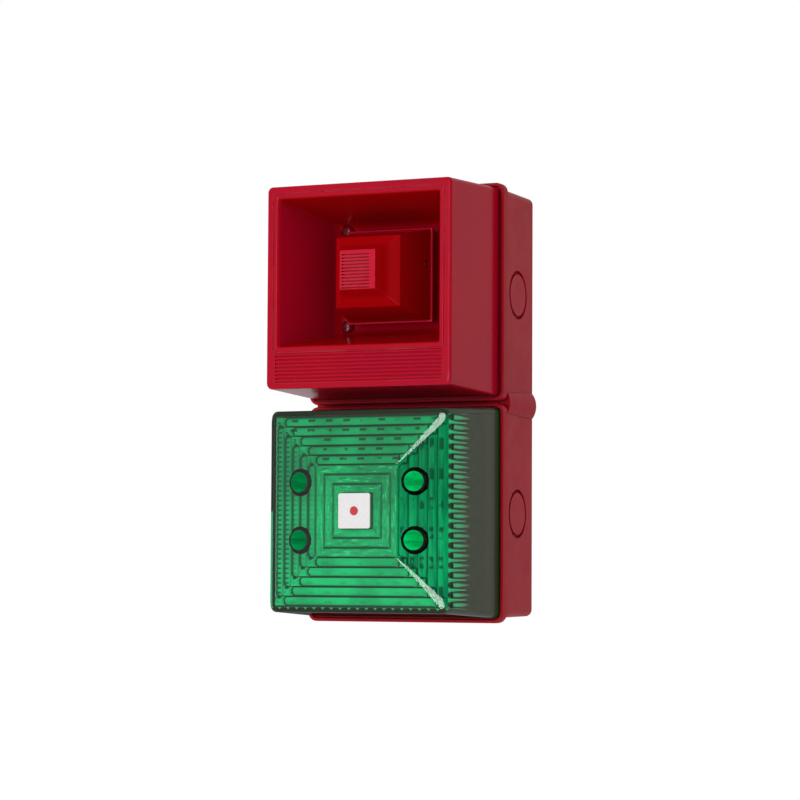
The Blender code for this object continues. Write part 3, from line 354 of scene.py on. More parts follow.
LENS_CORNER = 2.6 * MM
LENS_WALL = 2.5 * MM
LENS_RISE = 4.4 * MM
LENS_FRONT = (47.6 * MM, 48.4 * MM)
LENS_FRONT_Y = LENS_LOW.y + LENS_RISE        # front end of the side walls
PLATEAU_HALF = 22.3 * MM
HIP_R = 6.4 * MM                     # corner radius that the conical hips run down to
HIP_TIP_R = 0.5 * MM                 # radius of the hips at the corners of the flat centre
HIP_SHARES = (0.05, 0.12, 0.22, 0.35, 0.5, 0.65, 0.8, 0.92)
GRID_STEP = 14.0 * MM / 36           # twelve steps to a rib
RIB_STEPS = 12
RIB_PITCH = RIB_STEPS * GRID_STEP
GRID_HALF_STEPS = 117
LABEL_STEPS = 21                     # grid steps from the centre to the label's edge
FIRST_BAR_STEPS = 57                 # grid steps from the centre to the innermost facet bar
FIRST_BAR = FIRST_BAR_STEPS * GRID_STEP
RIB_RISE = 1.1 * MM
FLUTE_LENGTH = 26.0 * MM
FLUTE_DEEP = 0.95 * MM
CAP_START = 0.085                    # shares of a flute's length, front to back
CAP_END = 0.315
SEAM_END = 0.90
STRIP_DEPTH = 8.0 * MM               # painted dark strip of shade along the rear edge of the outer face
SIDE_WALL = 1.7 * MM                 # side walls near the front
WELL_R = 6.7 * MM
WELL_BORE_R = 4.75 * MM
WELL_END_Y = -46.0 * MM
WELL_FLOOR = 2.5 * MM
WELL_SCREW_R = 2.2 * MM
LABEL_RECESS = 0.5 * MM


# ---------------------------------------------------------------- node graphs

class Value:
    """Output of a node graph that takes part in plain arithmetic."""

    def __init__(self, graph, socket):
        self.graph = graph
        self.socket = socket

    def maths(self, operation, other=0.0):
        return self.graph.add("ShaderNodeMath", {0: self, 1: other}, operation=operation)

    def __add__(self, other):
        return self.maths("ADD", other)

    def __sub__(self, other):
        return self.maths("SUBTRACT", other)

    def __rsub__(self, other):
        return self.graph.add("ShaderNodeMath", {0: other, 1: self}, operation="SUBTRACT")

    def __mul__(self, other):
        return self.maths("MULTIPLY", other)

    def __truediv__(self, other):
        return self.maths("DIVIDE", other)

    def __pow__(self, other):
        return self.maths("POWER", other)

    def __abs__(self):
        return self.maths("ABSOLUTE")

    def ramp(self, low, high, first=0.0, last=1.0, kind="SMOOTHSTEP"):
        """Goes from first to last while the value goes from low to high."""
        return self.graph.add("ShaderNodeMapRange", {
            "Value": self, "From Min": low, "From Max": high, "To Min": first, "To Max": last},
            "Result", interpolation_type=kind)


class Graph:
    """Node graph of a material or of the world."""

    def __init__(self, block, kind="Material", place="Object"):
        block.use_nodes = True
        self.block = block
        self.tree = block.node_tree
        self.tree.nodes.clear()
        self.surface = self.tree.nodes.new(f"ShaderNodeOutput{kind}").inputs["Surface"]
        self.place = self.add("ShaderNodeTexCoord", output=place)

    def add(self, kind, inputs=None, output=0, **settings):
        """New node; returns one of its outputs."""
        node = self.tree.nodes.new(kind)
        for key, value in settings.items():
            setattr(node, key, value)
        for key, value in (inputs or {}).items():
            self.feed(node.inputs[key], value)
        return Value(self, node.outputs[output])

    def feed(self, socket, value):
        if isinstance(value, Value):
            self.tree.links.new(value.socket, socket)
        elif socket.type == "RGBA":
            socket.default_value = (*value, 1.0)
        else:
            socket.default_value = value

    def axes(self, vector):
        """The X, Y and Z of a vector."""
        node = self.tree.nodes.new("ShaderNodeSeparateXYZ")
        self.feed(node.inputs[0], vector)
        return [Value(self, socket) for socket in node.outputs]

    def about(self, centre):
        """Place about a centre: x, y and z, then |x| and |z|."""
        x, y, z = self.axes(self.add("ShaderNodeVectorMath", {
            0: self.place, 1: tuple(centre)}, operation="SUBTRACT"))
        return x, y, z, abs(x), abs(z)

    def noise(self, scale, detail=2.0, roughness=0.5, stretch=None):
        vector = self.place
        if stretch:
            vector = self.add("ShaderNodeMapping", {"Vector": vector, "Scale": stretch})
        return self.add("ShaderNodeTexNoise", {
            "Vector": vector, "Scale": scale, "Detail": detail, "Roughness": roughness})

    def blend(self, share, first, second, blend_type="MIX"):
        return self.add("ShaderNodeMix", {0: share, 6: first, 7: second}, 2,
                        data_type="RGBA", blend_type=blend_type)

    def scaled(self, tint, level):
        """Colour times a number."""
        return self.blend(1.0, tint, level, "MULTIPLY")

    def edges(self, width):
        """1 along the edges, where a rounded normal leaves the true one, 0 on the faces."""
        rounded = self.add("ShaderNodeBevel", {"Radius": width}, samples=4)
        plain = self.add("ShaderNodeNewGeometry", output="Normal")
        alike = self.add("ShaderNodeVectorMath", {0: plain, 1: rounded}, "Value",
                         operation="DOT_PRODUCT")
        return alike.ramp(0.90, 0.985, 1.0, 0.0)

    def bump(self, height, distance, strength=1.0):
        return self.add("ShaderNodeBump", {
            "Height": height, "Distance": distance, "Strength": strength})

    def principled(self, **inputs):
        return self.add("ShaderNodeBsdfPrincipled", {
            key.replace("_", " "): value for key, value in inputs.items()})

    def mixed(self, share, first, second):
        """One shader turning into another."""
        return self.add("ShaderNodeMixShader", {0: share, 1: first, 2: second})

    def done(self, shader):
        self.tree.links.new(shader.socket, self.surface)
        return self.block


def graph_of(name):
    return Graph(bpy.data.materials.new(name))


def leaning(share, first, second):
    """A number going from first to second as the share goes from 0 to 1."""
    return (1.0 - share) * first + share * second


# ---------------------------------------------------------------- materials

EDGE_WIDTH = 0.35 * MM               # band of edge wear along the edges, its lighter colour partly a painted highlight
FINE_GRAIN = 0.01 * MM               # bump heights
GRAIN = 0.02 * MM
COARSE_GRAIN = 0.06 * MM
LENS_DEPTH = LENS_HIGH.y - LENS_FRONT_Y
DIAGONAL = 0.4 * MM                  # half width of the turn from upright to level walls


def moulded_plastic(name, base, shade, roughness, grain=GRAIN, specular=0.5, side_dye=None,
                    side_reach=0.75, edge_width=EDGE_WIDTH):
    """Moulded plastic: slow colour drift, fine spark-eroded grain and lighter, glossier edges, the
    lighter colour being edge wear and painted highlight.

    Faces turned away from the front can take painted shade: a darker, purer red for them, for
    normals up to a reach towards the right.
    """
    g = graph_of(name)
    tint = g.blend(g.noise(26.0, 3.0).ramp(0.3, 0.7), base, shade)
    # painted shade: faces turned away from the front take the darker colour
    if side_dye:
        level, along, _ = g.axes(g.add("ShaderNodeNewGeometry", output="Normal"))
        away = along.ramp(-0.97, -0.80) * level.ramp(side_reach, side_reach + 0.15, 1.0, 0.0)
        tint = g.blend(away, tint, side_dye)
    fine = g.noise(5200.0, 2.0, 0.6)
    flow = g.noise(90.0, 4.0, 0.55)
    # edge wear, lightened in part as a painted highlight along the edges
    wear_and_highlight = g.edges(edge_width) * flow.ramp(0.35, 0.6, 0.3, 1.0)
    tint = g.blend(wear_and_highlight, tint, g.blend(0.05, tint, (0.9, 0.8, 0.8)))
    return g.done(g.principled(
        Base_Color=tint, Roughness=flow.ramp(0.25, 0.75, roughness * 0.88, roughness * 1.14),
        Normal=g.bump(fine + flow * 0.6, grain, 0.5),
        Specular_IOR_Level=wear_and_highlight.ramp(0.0, 1.0, specular, max(specular, 0.5))))


def red_abs(name, base, shade, **settings):
    """Glossy red plastic of the horn, with a weak mirror."""
    return moulded_plastic(name, base, shade, 0.17, FINE_GRAIN, 0.10, **settings)


def brushed_metal(name, base, roughness, scratches=(40.0, 900.0, 900.0)):
    """Plated metal with fine drawn scratches and dull patches."""
    g = graph_of(name)
    lines = g.noise(3.0, 3.0, 0.6, scratches)
    patches = g.noise(160.0, 3.0)
    dull = [0.7 * part for part in base]
    gloss = (lines + patches).ramp(0.6, 1.4, roughness * 0.75, roughness * 1.35)
    return g.done(g.principled(
        Base_Color=g.blend(patches.ramp(0.3, 0.8, 0.0, 0.35), base, dull), Metallic=1.0,
        Roughness=gloss, Normal=g.bump(lines, FINE_GRAIN, 0.4)))


def soft_rubber(name, base):
    """Matt rubber with a dusty bloom."""
    g = graph_of(name)
    bloom = g.noise(300.0, 4.0, 0.6).ramp(0.45, 0.75, 0.0, 0.5)
    return g.done(g.principled(
        Base_Color=g.blend(bloom, base, (0.055, 0.055, 0.055)),
        Roughness=bloom.ramp(0.0, 0.5, 0.6, 0.85), Normal=g.bump(g.noise(2500.0), 0.03 * MM, 0.5)))


def circuit_laminate(name):
    """Green solder mask over copper tracks on a square grid, with a woven ground."""
    g = graph_of(name)
    flat = g.add("ShaderNodeMapping", {"Vector": g.place, "Scale": (1.0, 0.02, 1.0)})
    cells = g.add("ShaderNodeTexVoronoi", {"Vector": flat, "Scale": 230.0}, "Distance",
                  distance="MANHATTAN", feature="F1")
    tracks = (cells * 14.0).maths("SINE").ramp(0.15, 0.35)
    weave = g.noise(3800.0)
    mask = g.blend(tracks, (0.006, 0.085, 0.03), (0.02, 0.19, 0.07))
    return g.done(g.principled(
        Base_Color=g.blend(weave.ramp(0.4, 0.8, 0.0, 0.25), mask, (0.03, 0.12, 0.05)),
        Roughness=0.38, Coat_Weight=0.3, Normal=g.bump(tracks + weave, 0.04 * MM, 0.6)))


def lens_skin(name):
    """Smooth outer face of the lens: seen through from outside, with painted shade: dark where
    looked along from inside, at its left, top and bottom rims, its corners and a rear strip.
    """
    g = graph_of(name)
    x, y, z, wide, tall = g.about(LENS_MID)
    wave = g.noise(55.0)
    patchy = wave.ramp(0.3, 0.7)
    normal = g.bump(wave, 0.4 * MM, 0.1)
    depth = y - (LENS_FRONT_Y - LENS_MID.y)
    on_wall = depth.ramp(0.8 * MM, 2.4 * MM)
    clear = g.add("ShaderNodeBsdfTransparent", {"Color": (0.80, 0.97, 0.87)})
    gloss = g.add("ShaderNodeBsdfGlossy", {
        "Color": g.blend(on_wall, (1.0, 1.0, 1.0), (0.12, 0.13, 0.12)),
        "Roughness": wave.ramp(0.3, 0.7, 0.03, 0.08), "Normal": normal})
    mirror = g.add("ShaderNodeFresnel", {"IOR": 1.5, "Normal": normal})
    share = depth / LENS_DEPTH
    beyond_x = wide - share.ramp(0.0, 1.0, LENS_FRONT[0], LENS_HALF.x, "LINEAR")
    beyond_z = tall - share.ramp(0.0, 1.0, LENS_FRONT[1], LENS_HALF.z, "LINEAR")
    # painted shade: the corners of the side walls are opaque grey
    corner = beyond_x.maths("MINIMUM", beyond_z).ramp(-LENS_WALL - 0.3 * MM, -LENS_WALL)
    # painted shade: an opaque dark green strip along the rear edge
    strip = depth.ramp(LENS_DEPTH - STRIP_DEPTH, LENS_DEPTH - STRIP_DEPTH + 0.6 * MM)
    painted_wall_shade = g.blend(patchy, (0.060, 0.068, 0.052), (0.076, 0.080, 0.064))
    painted_wall_shade = g.blend(strip, painted_wall_shade, (0.020, 0.046, 0.012))
    # painted shade: opaque dark rims at the left, top and bottom of the front, broken by green
    # arches along the bottom
    left_rim = (1.5 * MM - LENS_FRONT[0] - x).ramp(-0.2 * MM, 0.2 * MM)
    end_rim = beyond_z.ramp(-LENS_WALL - 0.1 * MM, -LENS_WALL + 0.3 * MM)
    arch = abs((x * (math.pi / RIB_PITCH)).maths("SINE"))
    cusp = (beyond_z + arch * (1.6 * MM)).ramp(-1.5 * MM, -1.2 * MM, 1.0, 0.0)
    edge = g.blend(cusp * z.ramp(-MM, MM, 1.0, 0.0), (0.020, 0.030, 0.018), (0.03, 0.36, 0.14))
    edge = g.blend(depth.ramp(0.2 * MM, 1.2 * MM), edge, painted_wall_shade)
    solid = g.principled(Base_Color=edge, Roughness=0.3, Specular_IOR_Level=0.1)
    rim = left_rim.maths("MAXIMUM", end_rim) * (1.0 - on_wall)
    filled = strip.maths("MAXIMUM", rim).maths("MAXIMUM", corner * depth.ramp(0.0, 0.6 * MM))
    outside = g.mixed(filled, g.mixed(mirror, clear, gloss), solid)
    # painted shade: seen from within the plastic, camera rays meet a dark diffuse sheet
    painted_dark_inside = g.add("ShaderNodeBsdfDiffuse", {
        "Color": g.blend(patchy, (0.03, 0.055, 0.035), (0.055, 0.06, 0.045))})
    path = g.add("ShaderNodeLightPath", output="Is Camera Ray")
    inside = g.mixed(path, g.add("ShaderNodeBsdfTransparent"), painted_dark_inside)
    facing = g.add("ShaderNodeNewGeometry", output="Backfacing")
    return g.done(g.mixed(facing, outside, inside))


def lens_ribs(name):
    """Ribbed inner face of the lens: bright crowns, deep grooves and rows of short painted
    shadows, with painted shade, glints and glow.
    """
    g = graph_of(name)
    x, _, z, wide, tall = g.about(LENS_MID)
    far = wide.maths("MAXIMUM", tall)
    phase = ((far - FIRST_BAR) / RIB_PITCH).maths("FRACT")
    sideways = (wide - tall).ramp(-DIAGONAL, DIAGONAL)
    leftward = x.ramp(-2 * MM, 2 * MM, 1.0, 0.0)
    patchy = g.noise(130.0)

    def dashes(along, period, keep, low, high):
        """Short marks on a rib from phase low to high, broken where the noise is below keep."""
        wave = (along * (2 * math.pi / period)).maths("SINE").ramp(0.1, 0.5)
        row = phase.ramp(low - 0.1, low) * phase.ramp(high, high + 0.1, 1.0, 0.0)
        return wave * row * patchy.ramp(keep - 0.06, keep + 0.06)

    # painted shadows: rows and columns of short dark dashes on the ribs
    rows = dashes(x, 2 * RIB_PITCH, 0.46, 0.5, 0.68) * z.ramp(-2 * MM, 2 * MM, 0.25, 1.0)
    columns = dashes(z, RIB_PITCH / 2, 0.20, 0.25, 0.66) * far.ramp(30 * MM, 41 * MM, 0.35, 1.0)
    sparse_dashes = dashes(z, 3 * RIB_PITCH, 0.44, 0.32, 0.68)
    outer = far.ramp(FIRST_BAR, FIRST_BAR + MM).maths("MAXIMUM", 0.45)
    marks = leaning(sideways, rows, leaning(leftward, sparse_dashes, columns)) * outer * 0.9

    streaks = g.noise(1.0, 3.0, 0.6, (140.0, 140.0, 900.0))
    cloud = g.noise(60.0, 3.0).ramp(0.35, 0.7)
    bright = g.blend(cloud, (0.002, 0.28, 0.095), (0.004, 0.42, 0.145))
    bright = g.blend(streaks.ramp(0.5, 0.8, 0.0, 0.45), bright, (0.01, 0.20, 0.09))
    # painted shade: the right facets take a deeper green
    rightward = sideways * (1.0 - leftward) * far.ramp(PLATEAU_HALF, PLATEAU_HALF + MM)
    veins = g.noise(1.0, stretch=(620.0, 100.0, 70.0)).ramp(0.38, 0.66)
    deep = g.blend(veins, (0.001, 0.30, 0.105), (0.0005, 0.17, 0.075))
    bright = g.blend(rightward, bright, deep)
    # painted light and shade: lighter towards the bottom, darker towards the top
    bright = g.scaled(bright, z.ramp(-16 * MM, 16 * MM, 1.22, 0.80))
    # painted glints and painted dark strokes on the flat centre
    central = far.ramp(PLATEAU_HALF - MM, PLATEAU_HALF, 1.0, 0.0)
    strokes = g.blend(sideways, g.noise(1.0, stretch=(210.0, 100.0, 1250.0)),
                      g.noise(1.0, stretch=(1250.0, 100.0, 210.0)))
    glints = strokes.ramp(0.56, 0.68, 0.0, 0.75) * central
    painted_dark_strokes = strokes.ramp(0.30, 0.42, 0.75, 0.0) * central
    bright = g.blend(glints, bright, (0.05, 0.62, 0.25))
    bright = g.blend(painted_dark_strokes, bright, (0.003, 0.15, 0.06))

    slant = g.add("ShaderNodeLayerWeight", {"Blend": 0.5}, "Facing")
    shadow = g.blend(sideways, (0.006, 0.050, 0.022), (0.002, 0.065, 0.034))
    shadow = g.blend(central * 0.35, shadow, (0.004, 0.20, 0.08))
    tint = g.blend(marks, g.blend(slant.ramp(0.14, 0.38), bright, shadow), shadow)
    scallop = (leaning(sideways, x, z) * (2 * math.pi / RIB_PITCH)).maths("COSINE")
    border = (far + scallop * (0.5 * MM)).ramp(44.6 * MM, 44.9 * MM) * sideways * leftward
    tint = g.blend(border, tint, g.blend(scallop.ramp(-0.2, 0.2), (0.08, 0.46, 0.20),
                                         (0.02, 0.22, 0.09)))
    # painted glow: the crowns give off green light, though the lens is no lamp
    glow = g.blend(slant.ramp(0.1, 0.4).maths("MAXIMUM", marks), (0.0, 0.33, 0.10),
                   (0.0, 0.01, 0.005))
    return g.done(g.principled(
        Base_Color=tint, Roughness=streaks.ramp(0.3, 0.7, 0.16, 0.30), Specular_IOR_Level=0.03,
        Emission_Color=glow, Emission_Strength=0.10))


def lens_flutes(name):
    """Inner side walls: flutes near the front painted light and glowing, painted grey shade behind
    them.
    """
    g = graph_of(name)
    x, y, z, wide, tall = g.about(LENS_MID)
    sideways = (wide - tall).ramp(-DIAGONAL, DIAGONAL)
    phase = (leaning(sideways, x, z) / RIB_PITCH).maths("FRACT")
    off = abs(phase - 0.5) * 2.0
    run = (y - (LENS_FRONT_Y - LENS_MID.y)) / FLUTE_LENGTH
    cloud = g.noise(240.0, 3.0)
    uneven = g.noise(90.0, 1.0).ramp(0.3, 0.7, -0.06, 0.06)
    inner = run.ramp(CAP_END - 0.01, CAP_END + 0.01)
    taper = ((run - CAP_END) / (1.0 - CAP_END)) ** 3.0
    bar = (off + uneven - (1.0 - taper) * 0.34).ramp(-0.10, 0.10, 1.0, 0.0)
    bar = bar * inner * run.ramp(0.9, 1.0, 1.0, 0.0)
    # painted highlight lines between the flutes
    seam_highlight = (off - run.ramp(CAP_END, SEAM_END, 0.74, 0.90, "LINEAR")).ramp(-0.08, 0.08)
    seam_highlight = seam_highlight * run.ramp(SEAM_END - 0.12, SEAM_END, 1.0, 0.0)
    # painted shade: dark half-discs at the front ends of the flutes
    ahead = (run - CAP_END) / (CAP_END - CAP_START)
    cap_shade = (ahead ** 2.0 + (off / 0.68) ** 2.0).ramp(0.85, 1.1, 1.0, 0.0) * (1.0 - inner)
    # painted grey shade behind the flutes, lighter towards the rear
    painted_wall_shade = g.blend(cloud.ramp(0.3, 0.7), (0.092, 0.086, 0.066), (0.108, 0.094, 0.076))
    painted_wall_shade = g.blend(run.ramp(1.4, 1.9), painted_wall_shade, (0.150, 0.125, 0.104))
    # painted shade between the bars and painted light on the bars
    between = g.blend(run.ramp(0.4, 0.95), (0.050, 0.080, 0.052), painted_wall_shade)
    light = g.blend(run.ramp(0.5, 0.95), (0.10, 0.48, 0.24), (0.12, 0.24, 0.14))
    tint = g.blend(bar, between, light)
    tint = g.blend(1.0 - inner, tint, (0.004, 0.40, 0.13))
    tint = g.blend(cap_shade, tint, (0.001, 0.012, 0.007))
    seam_glow_colour = g.blend(run.ramp(CAP_START, 0.8), (0.01, 0.62, 0.23), (0.15, 0.36, 0.21))
    # painted glow on the bars and the highlight lines
    return g.done(g.principled(
        Base_Color=g.blend(seam_highlight, tint, seam_glow_colour), Emission_Color=seam_glow_colour,
        Emission_Strength=(bar * 0.10).maths("MAXIMUM", seam_highlight * 0.20),
        Roughness=0.3, Specular_IOR_Level=0.04, Normal=g.bump(cloud, 0.1 * MM, 0.3)))


def lens_tube(name):
    """Screw well wall: painted glowing green from the air, lighter to the right; painted near
    black where seen through the solid plastic.
    """
    g = graph_of(name)
    facing = g.add("ShaderNodeNewGeometry", output="Backfacing")
    # painted light: the wells are lighter towards the right
    level = g.about(LENS_MID)[0].ramp(-20 * MM, 20 * MM, 0.72, 1.25)
    cloud = g.noise(1.0, 3.0, 0.5, (60.0, 40.0, 420.0)).ramp(0.35, 0.65)
    air = g.scaled(g.blend(cloud, (0.0, 0.20, 0.06), (0.005, 0.42, 0.13)), level)
    # painted shade where the wall is seen through the solid plastic
    solid = g.blend(cloud, (0.028, 0.036, 0.026), (0.045, 0.036, 0.034))
    # painted glow on the air side
    glow = g.scaled(g.blend(cloud, (0.0, 0.22, 0.06), (0.0, 0.36, 0.10)), level)
    return g.done(g.principled(
        Base_Color=g.blend(facing, air, solid), Roughness=0.25,
        Emission_Color=g.blend(facing, glow, (0.0, 0.0, 0.0)), Emission_Strength=0.55))


def marked_label(name, half, centre):
    """White film label with a plain round mark."""
    g = graph_of(name)
    x, _, z, _, _ = g.about(centre)
    reach = (x ** 2.0 + z ** 2.0).maths("SQRT")
    disc = reach.ramp(half * 0.24, half * 0.28, 1.0, 0.0)
    fibre = g.noise(1500.0)
    paper = g.blend(fibre.ramp(0.3, 0.7), (0.72, 0.70, 0.70), (0.78, 0.76, 0.765))
    return g.done(g.principled(Base_Color=g.blend(disc, paper, (0.52, 0.01, 0.025)),
                               Roughness=0.42, Normal=g.bump(fibre, FINE_GRAIN, 0.4)))


def clear_glass(name):
    """Thin flash tube glass that lamps shine through."""
    g = graph_of(name)
    glass = g.principled(Base_Color=(0.92, 0.95, 0.96), Transmission_Weight=1.0, IOR=1.48,
                         Roughness=g.noise(200.0).ramp(0.3, 0.7, 0.01, 0.04))
    path = g.add("ShaderNodeLightPath", output="Is Shadow Ray")
    return g.done(g.mixed(path, glass, g.add("ShaderNodeBsdfTransparent")))


HORN_REDS = ((0.43, 0.0025, 0.016), (0.40, 0.002, 0.019))
RED = red_abs("red_abs", *HORN_REDS)
# painted shade: the mouth's red turns darker on faces turned from the front
RED_MOUTH = red_abs("red_abs_mouth", *HORN_REDS, side_dye=(0.36, 0.001, 0.003))
RED_RIBS = red_abs("red_abs_ribs", (0.45, 0.0025, 0.018), (0.42, 0.002, 0.021), edge_width=0.0)
# painted light and shade: the plug takes a lighter copy of the horn red, darker on faces turned
# from the front
RED_PLUG = red_abs("red_abs_plug", (0.56, 0.008, 0.030), (0.52, 0.007, 0.030),
                   side_dye=(0.39, 0.001, 0.003), side_reach=1.0)
RED_MATT = moulded_plastic("red_abs_box", (0.38, 0.004, 0.014), (0.35, 0.003, 0.014), 0.36,
                           specular=0.10)
WHITE = moulded_plastic("white_plastic", (0.80, 0.80, 0.78), (0.72, 0.72, 0.70), 0.35)
BLACK = moulded_plastic("black_plastic", (0.022, 0.022, 0.024), (0.035, 0.034, 0.034), 0.42)
BLUE = moulded_plastic("blue_plastic", (0.02, 0.10, 0.38), (0.02, 0.08, 0.30), 0.4)
WIRE_RED = moulded_plastic("red_wire", (0.42, 0.015, 0.015), (0.36, 0.01, 0.01), 0.45)
# painted reflection: the horn screw heads are coloured red for the red horn that they mirror
SCREW_RED_REFLECTION = moulded_plastic("steel_with_painted_red_reflection", (0.20, 0.003, 0.010), (0.16, 0.002, 0.010), 0.16,
                          specular=0.6)
FERRITE = moulded_plastic("ferrite", (0.045, 0.045, 0.05), (0.07, 0.068, 0.07), 0.55,
                          COARSE_GRAIN)
FILM = moulded_plastic("diaphragm_film", (0.50, 0.30, 0.10), (0.42, 0.24, 0.07), 0.3)
RUBBER = soft_rubber("black_rubber", (0.018, 0.017, 0.017))
STEEL = brushed_metal("steel", (0.30, 0.28, 0.27), 0.36)
COPPER = brushed_metal("copper", (0.70, 0.34, 0.18), 0.32, (900.0, 900.0, 40.0))
LAMINATE = circuit_laminate("circuit_board")
GLASS = clear_glass("tube_glass")
LENS_MATERIALS = (lens_skin("green_lens_skin"), lens_ribs("green_lens_ribs"),
                  lens_tube("green_lens_tube"), lens_flutes("green_lens_flutes"))
SKIN_FACE, RIB_FACE, TUBE_FACE, FLUTE_FACE = range(4)


# ---------------------------------------------------------------- back boxes and link

LIP_THICK = 5.5 * MM
LIP_CORNER = 4.5 * MM
BOX_CORNER = 3.5 * MM
BOX_FRONT = (52.15 * MM, 50.85 * MM)
BOX_BACK = (50.6 * MM, 50.45 * MM)
RECESS = (51.6 * MM, 51.8 * MM)
RECESS_DEEP = 3.0 * MM
RECESS_CORNER = LIP_CORNER - 1.2 * MM
CAVITY_FRONT = (48.0 * MM, 46.7 * MM)
CAVITY_BACK = (47.0 * MM, 46.5 * MM)
SEAL_INNER = (48.3 * MM, 47.0 * MM)
FLOOR_Y = -3.0 * MM
KNOCKOUT_Y = -20.0 * MM
KNOCKOUT_RADII = (10.2 * MM, 12.1 * MM)
KNOCKOUT_CUT = 2.2 * MM
FIXING_AT = (28.0 * MM, 41.0 * MM)
FIXING_R = 2.3 * MM
FIXING_SINK = 1.7                    # countersink radius as a share of the hole's own
BUSH_HOLE_R = 8.6 * MM
BOSS_R = 4.6 * MM
BOSS_TIP_R = 3.7 * MM
BOSS_FOOT = 1.2                      # radius at the floor as a share of the boss's own
PILOT_R = 2.2 * MM
POST_R = 3.6 * MM
POST_PILOT_R = 1.55 * MM
HORN_BOSS_Y = -41.5 * MM
LENS_BOSS_STEP_Y = -38.9 * MM
LENS_BOSS_Y = -45.7 * MM
PILOT_DEPTH = 20.0 * MM
POST_PILOT_DEPTH = 6.0 * MM
BOARD_POST_Y = -14.1 * MM
LINK_BAR_HALF_Z = 5.3 * MM
LINK_BEAD_R = 10.3 * MM
LINK_JOINT = 0.3 * MM


def box_shell():
    """Back box about its own centre: drafted body, proud lip, gasket recess and cavity."""
    lip_back = LIP_Y + LIP_THICK
    recess_y = LIP_Y + RECESS_DEEP
    lip_half = (BOX_HALF.x, BOX_HALF.z)
    return moulding((
        (rect(*BOX_BACK, 0.0, BOX_CORNER), 0.0),
        (rect(*BOX_FRONT, lip_back, BOX_CORNER), 0.15 * MM),
        (rect(*lip_half, lip_back, LIP_CORNER), 0.5 * MM),
        (rect(*lip_half, LIP_Y, LIP_CORNER), 1.0 * MM),
        (rect(*RECESS, LIP_Y, RECESS_CORNER), 0.35 * MM),
        (rect(*RECESS, recess_y, RECESS_CORNER), 0.2 * MM),
        (rect(*CAVITY_FRONT, recess_y, BOX_CORNER), 0.4 * MM),
        (rect(*CAVITY_BACK, FLOOR_Y, BOX_CORNER), 0.0)))


def knockout_ring(side):
    """Cutter for the ring groove of a cable entry."""
    inner, outer = KNOCKOUT_RADII
    slope = (BOX_FRONT[0] - BOX_BACK[0]) / (LIP_Y + LIP_THICK)
    surface = BOX_BACK[0] + slope * KNOCKOUT_Y
    near = side * (surface - KNOCKOUT_CUT)
    far = side * (surface + 3 * MM)
    return turned(((inner, near, 0.3 * MM), (inner, far, 0.0), (outer, far, 0.0),
                   (outer, near, 0.3 * MM)), "X", (0.0, KNOCKOUT_Y, 0.0), closed=True)


def boss(at, tip_y, radius):
    """Screw boss that flares a little where it leaves the floor."""
    foot = radius * BOSS_FOOT
    return turned((
        (foot, FLOOR_Y + MM, 0.0), (foot, FLOOR_Y - 0.6 * MM, 0.3 * MM),
        (radius, FLOOR_Y - 1.6 * MM, 0.4 * MM), (radius, tip_y, 0.35 * MM)),
        "Y", (at[0], 0.0, at[1]), 40)


def stepped_boss(at):
    """Tall boss with a narrower tip that reaches into a screw well of the lens."""
    return turned((
        (BOSS_R, FLOOR_Y + MM, 0.0), (BOSS_R, LENS_BOSS_STEP_Y, 0.4 * MM),
        (BOSS_TIP_R, LENS_BOSS_STEP_Y, 0.3 * MM), (BOSS_TIP_R, LENS_BOSS_Y, 0.4 * MM)),
        "Y", (at[0], 0.0, at[1]), 40)


def fixing_hole(side, rise):
    """Cutter for a fixing hole with a countersink in the floor."""
    sunk = FLOOR_Y - 0.2 * MM
    return turned((
        (FIXING_R, MM, 0.0), (FIXING_R, FLOOR_Y + 0.8 * MM, 0.1 * MM),
        (FIXING_R * FIXING_SINK, sunk, 0.0)),
        "Y", (side * FIXING_AT[0], 0.0, rise * FIXING_AT[1]), 32)


def back_box(level, centre, bosses, pilots, towards_link):
    """Complete box with its bosses joined on and every hole cut."""
    body = shaped(box_shell(), gathered(bosses), "UNION")
    cuts = [knockout_ring(side) for side in SIDES] + pilots
    cuts += [fixing_hole(side, rise) for side, rise in CORNERS]
    wall = towards_link * CAVITY_BACK[1]
    cuts.append(drum(BUSH_HOLE_R, wall - towards_link * 4 * MM, wall + towards_link * 8 * MM, "Z",
                     (0.0, BUSH_MID.y, 0.0)))
    body = shaped(body, gathered(cuts))
    piece(f"{level}_box_moulding", raised(body, centre.z), RED_MATT,
          f"{level}_back_box")


def screw_places(kind, centre, ends=CORNER_NAMES):
    """Axes (x, z) of a kind of screw about a module's centre, from their CAD boxes."""
    middles = [span(f"{kind}_screw_{end}")[2] for end in ends]
    return [(middle.x, middle.z - centre.z) for middle in middles]


def back_boxes():
    covers = screw_places("horn", UPPER_MID)
    back_box("upper", UPPER_MID, [boss(at, HORN_BOSS_Y, BOSS_R) for at in covers],
             drums(PILOT_R, HORN_BOSS_Y - MM, HORN_BOSS_Y + PILOT_DEPTH, covers, steps=24), -1)
    covers = screw_places("lens", LOWER_MID)
    boards = screw_places("beacon_board", LOWER_MID, BOARD_SCREWS)
    bosses = [stepped_boss(at) for at in covers]
    bosses += [boss(at, BOARD_POST_Y, POST_R) for at in boards]
    pilots = drums(PILOT_R, LENS_BOSS_Y - MM, LENS_BOSS_Y + PILOT_DEPTH, covers, steps=24)
    pilots += drums(POST_PILOT_R, BOARD_POST_Y - MM, BOARD_POST_Y + POST_PILOT_DEPTH, boards,
                    steps=24)
    back_box("lower", LOWER_MID, bosses, pilots, 1)


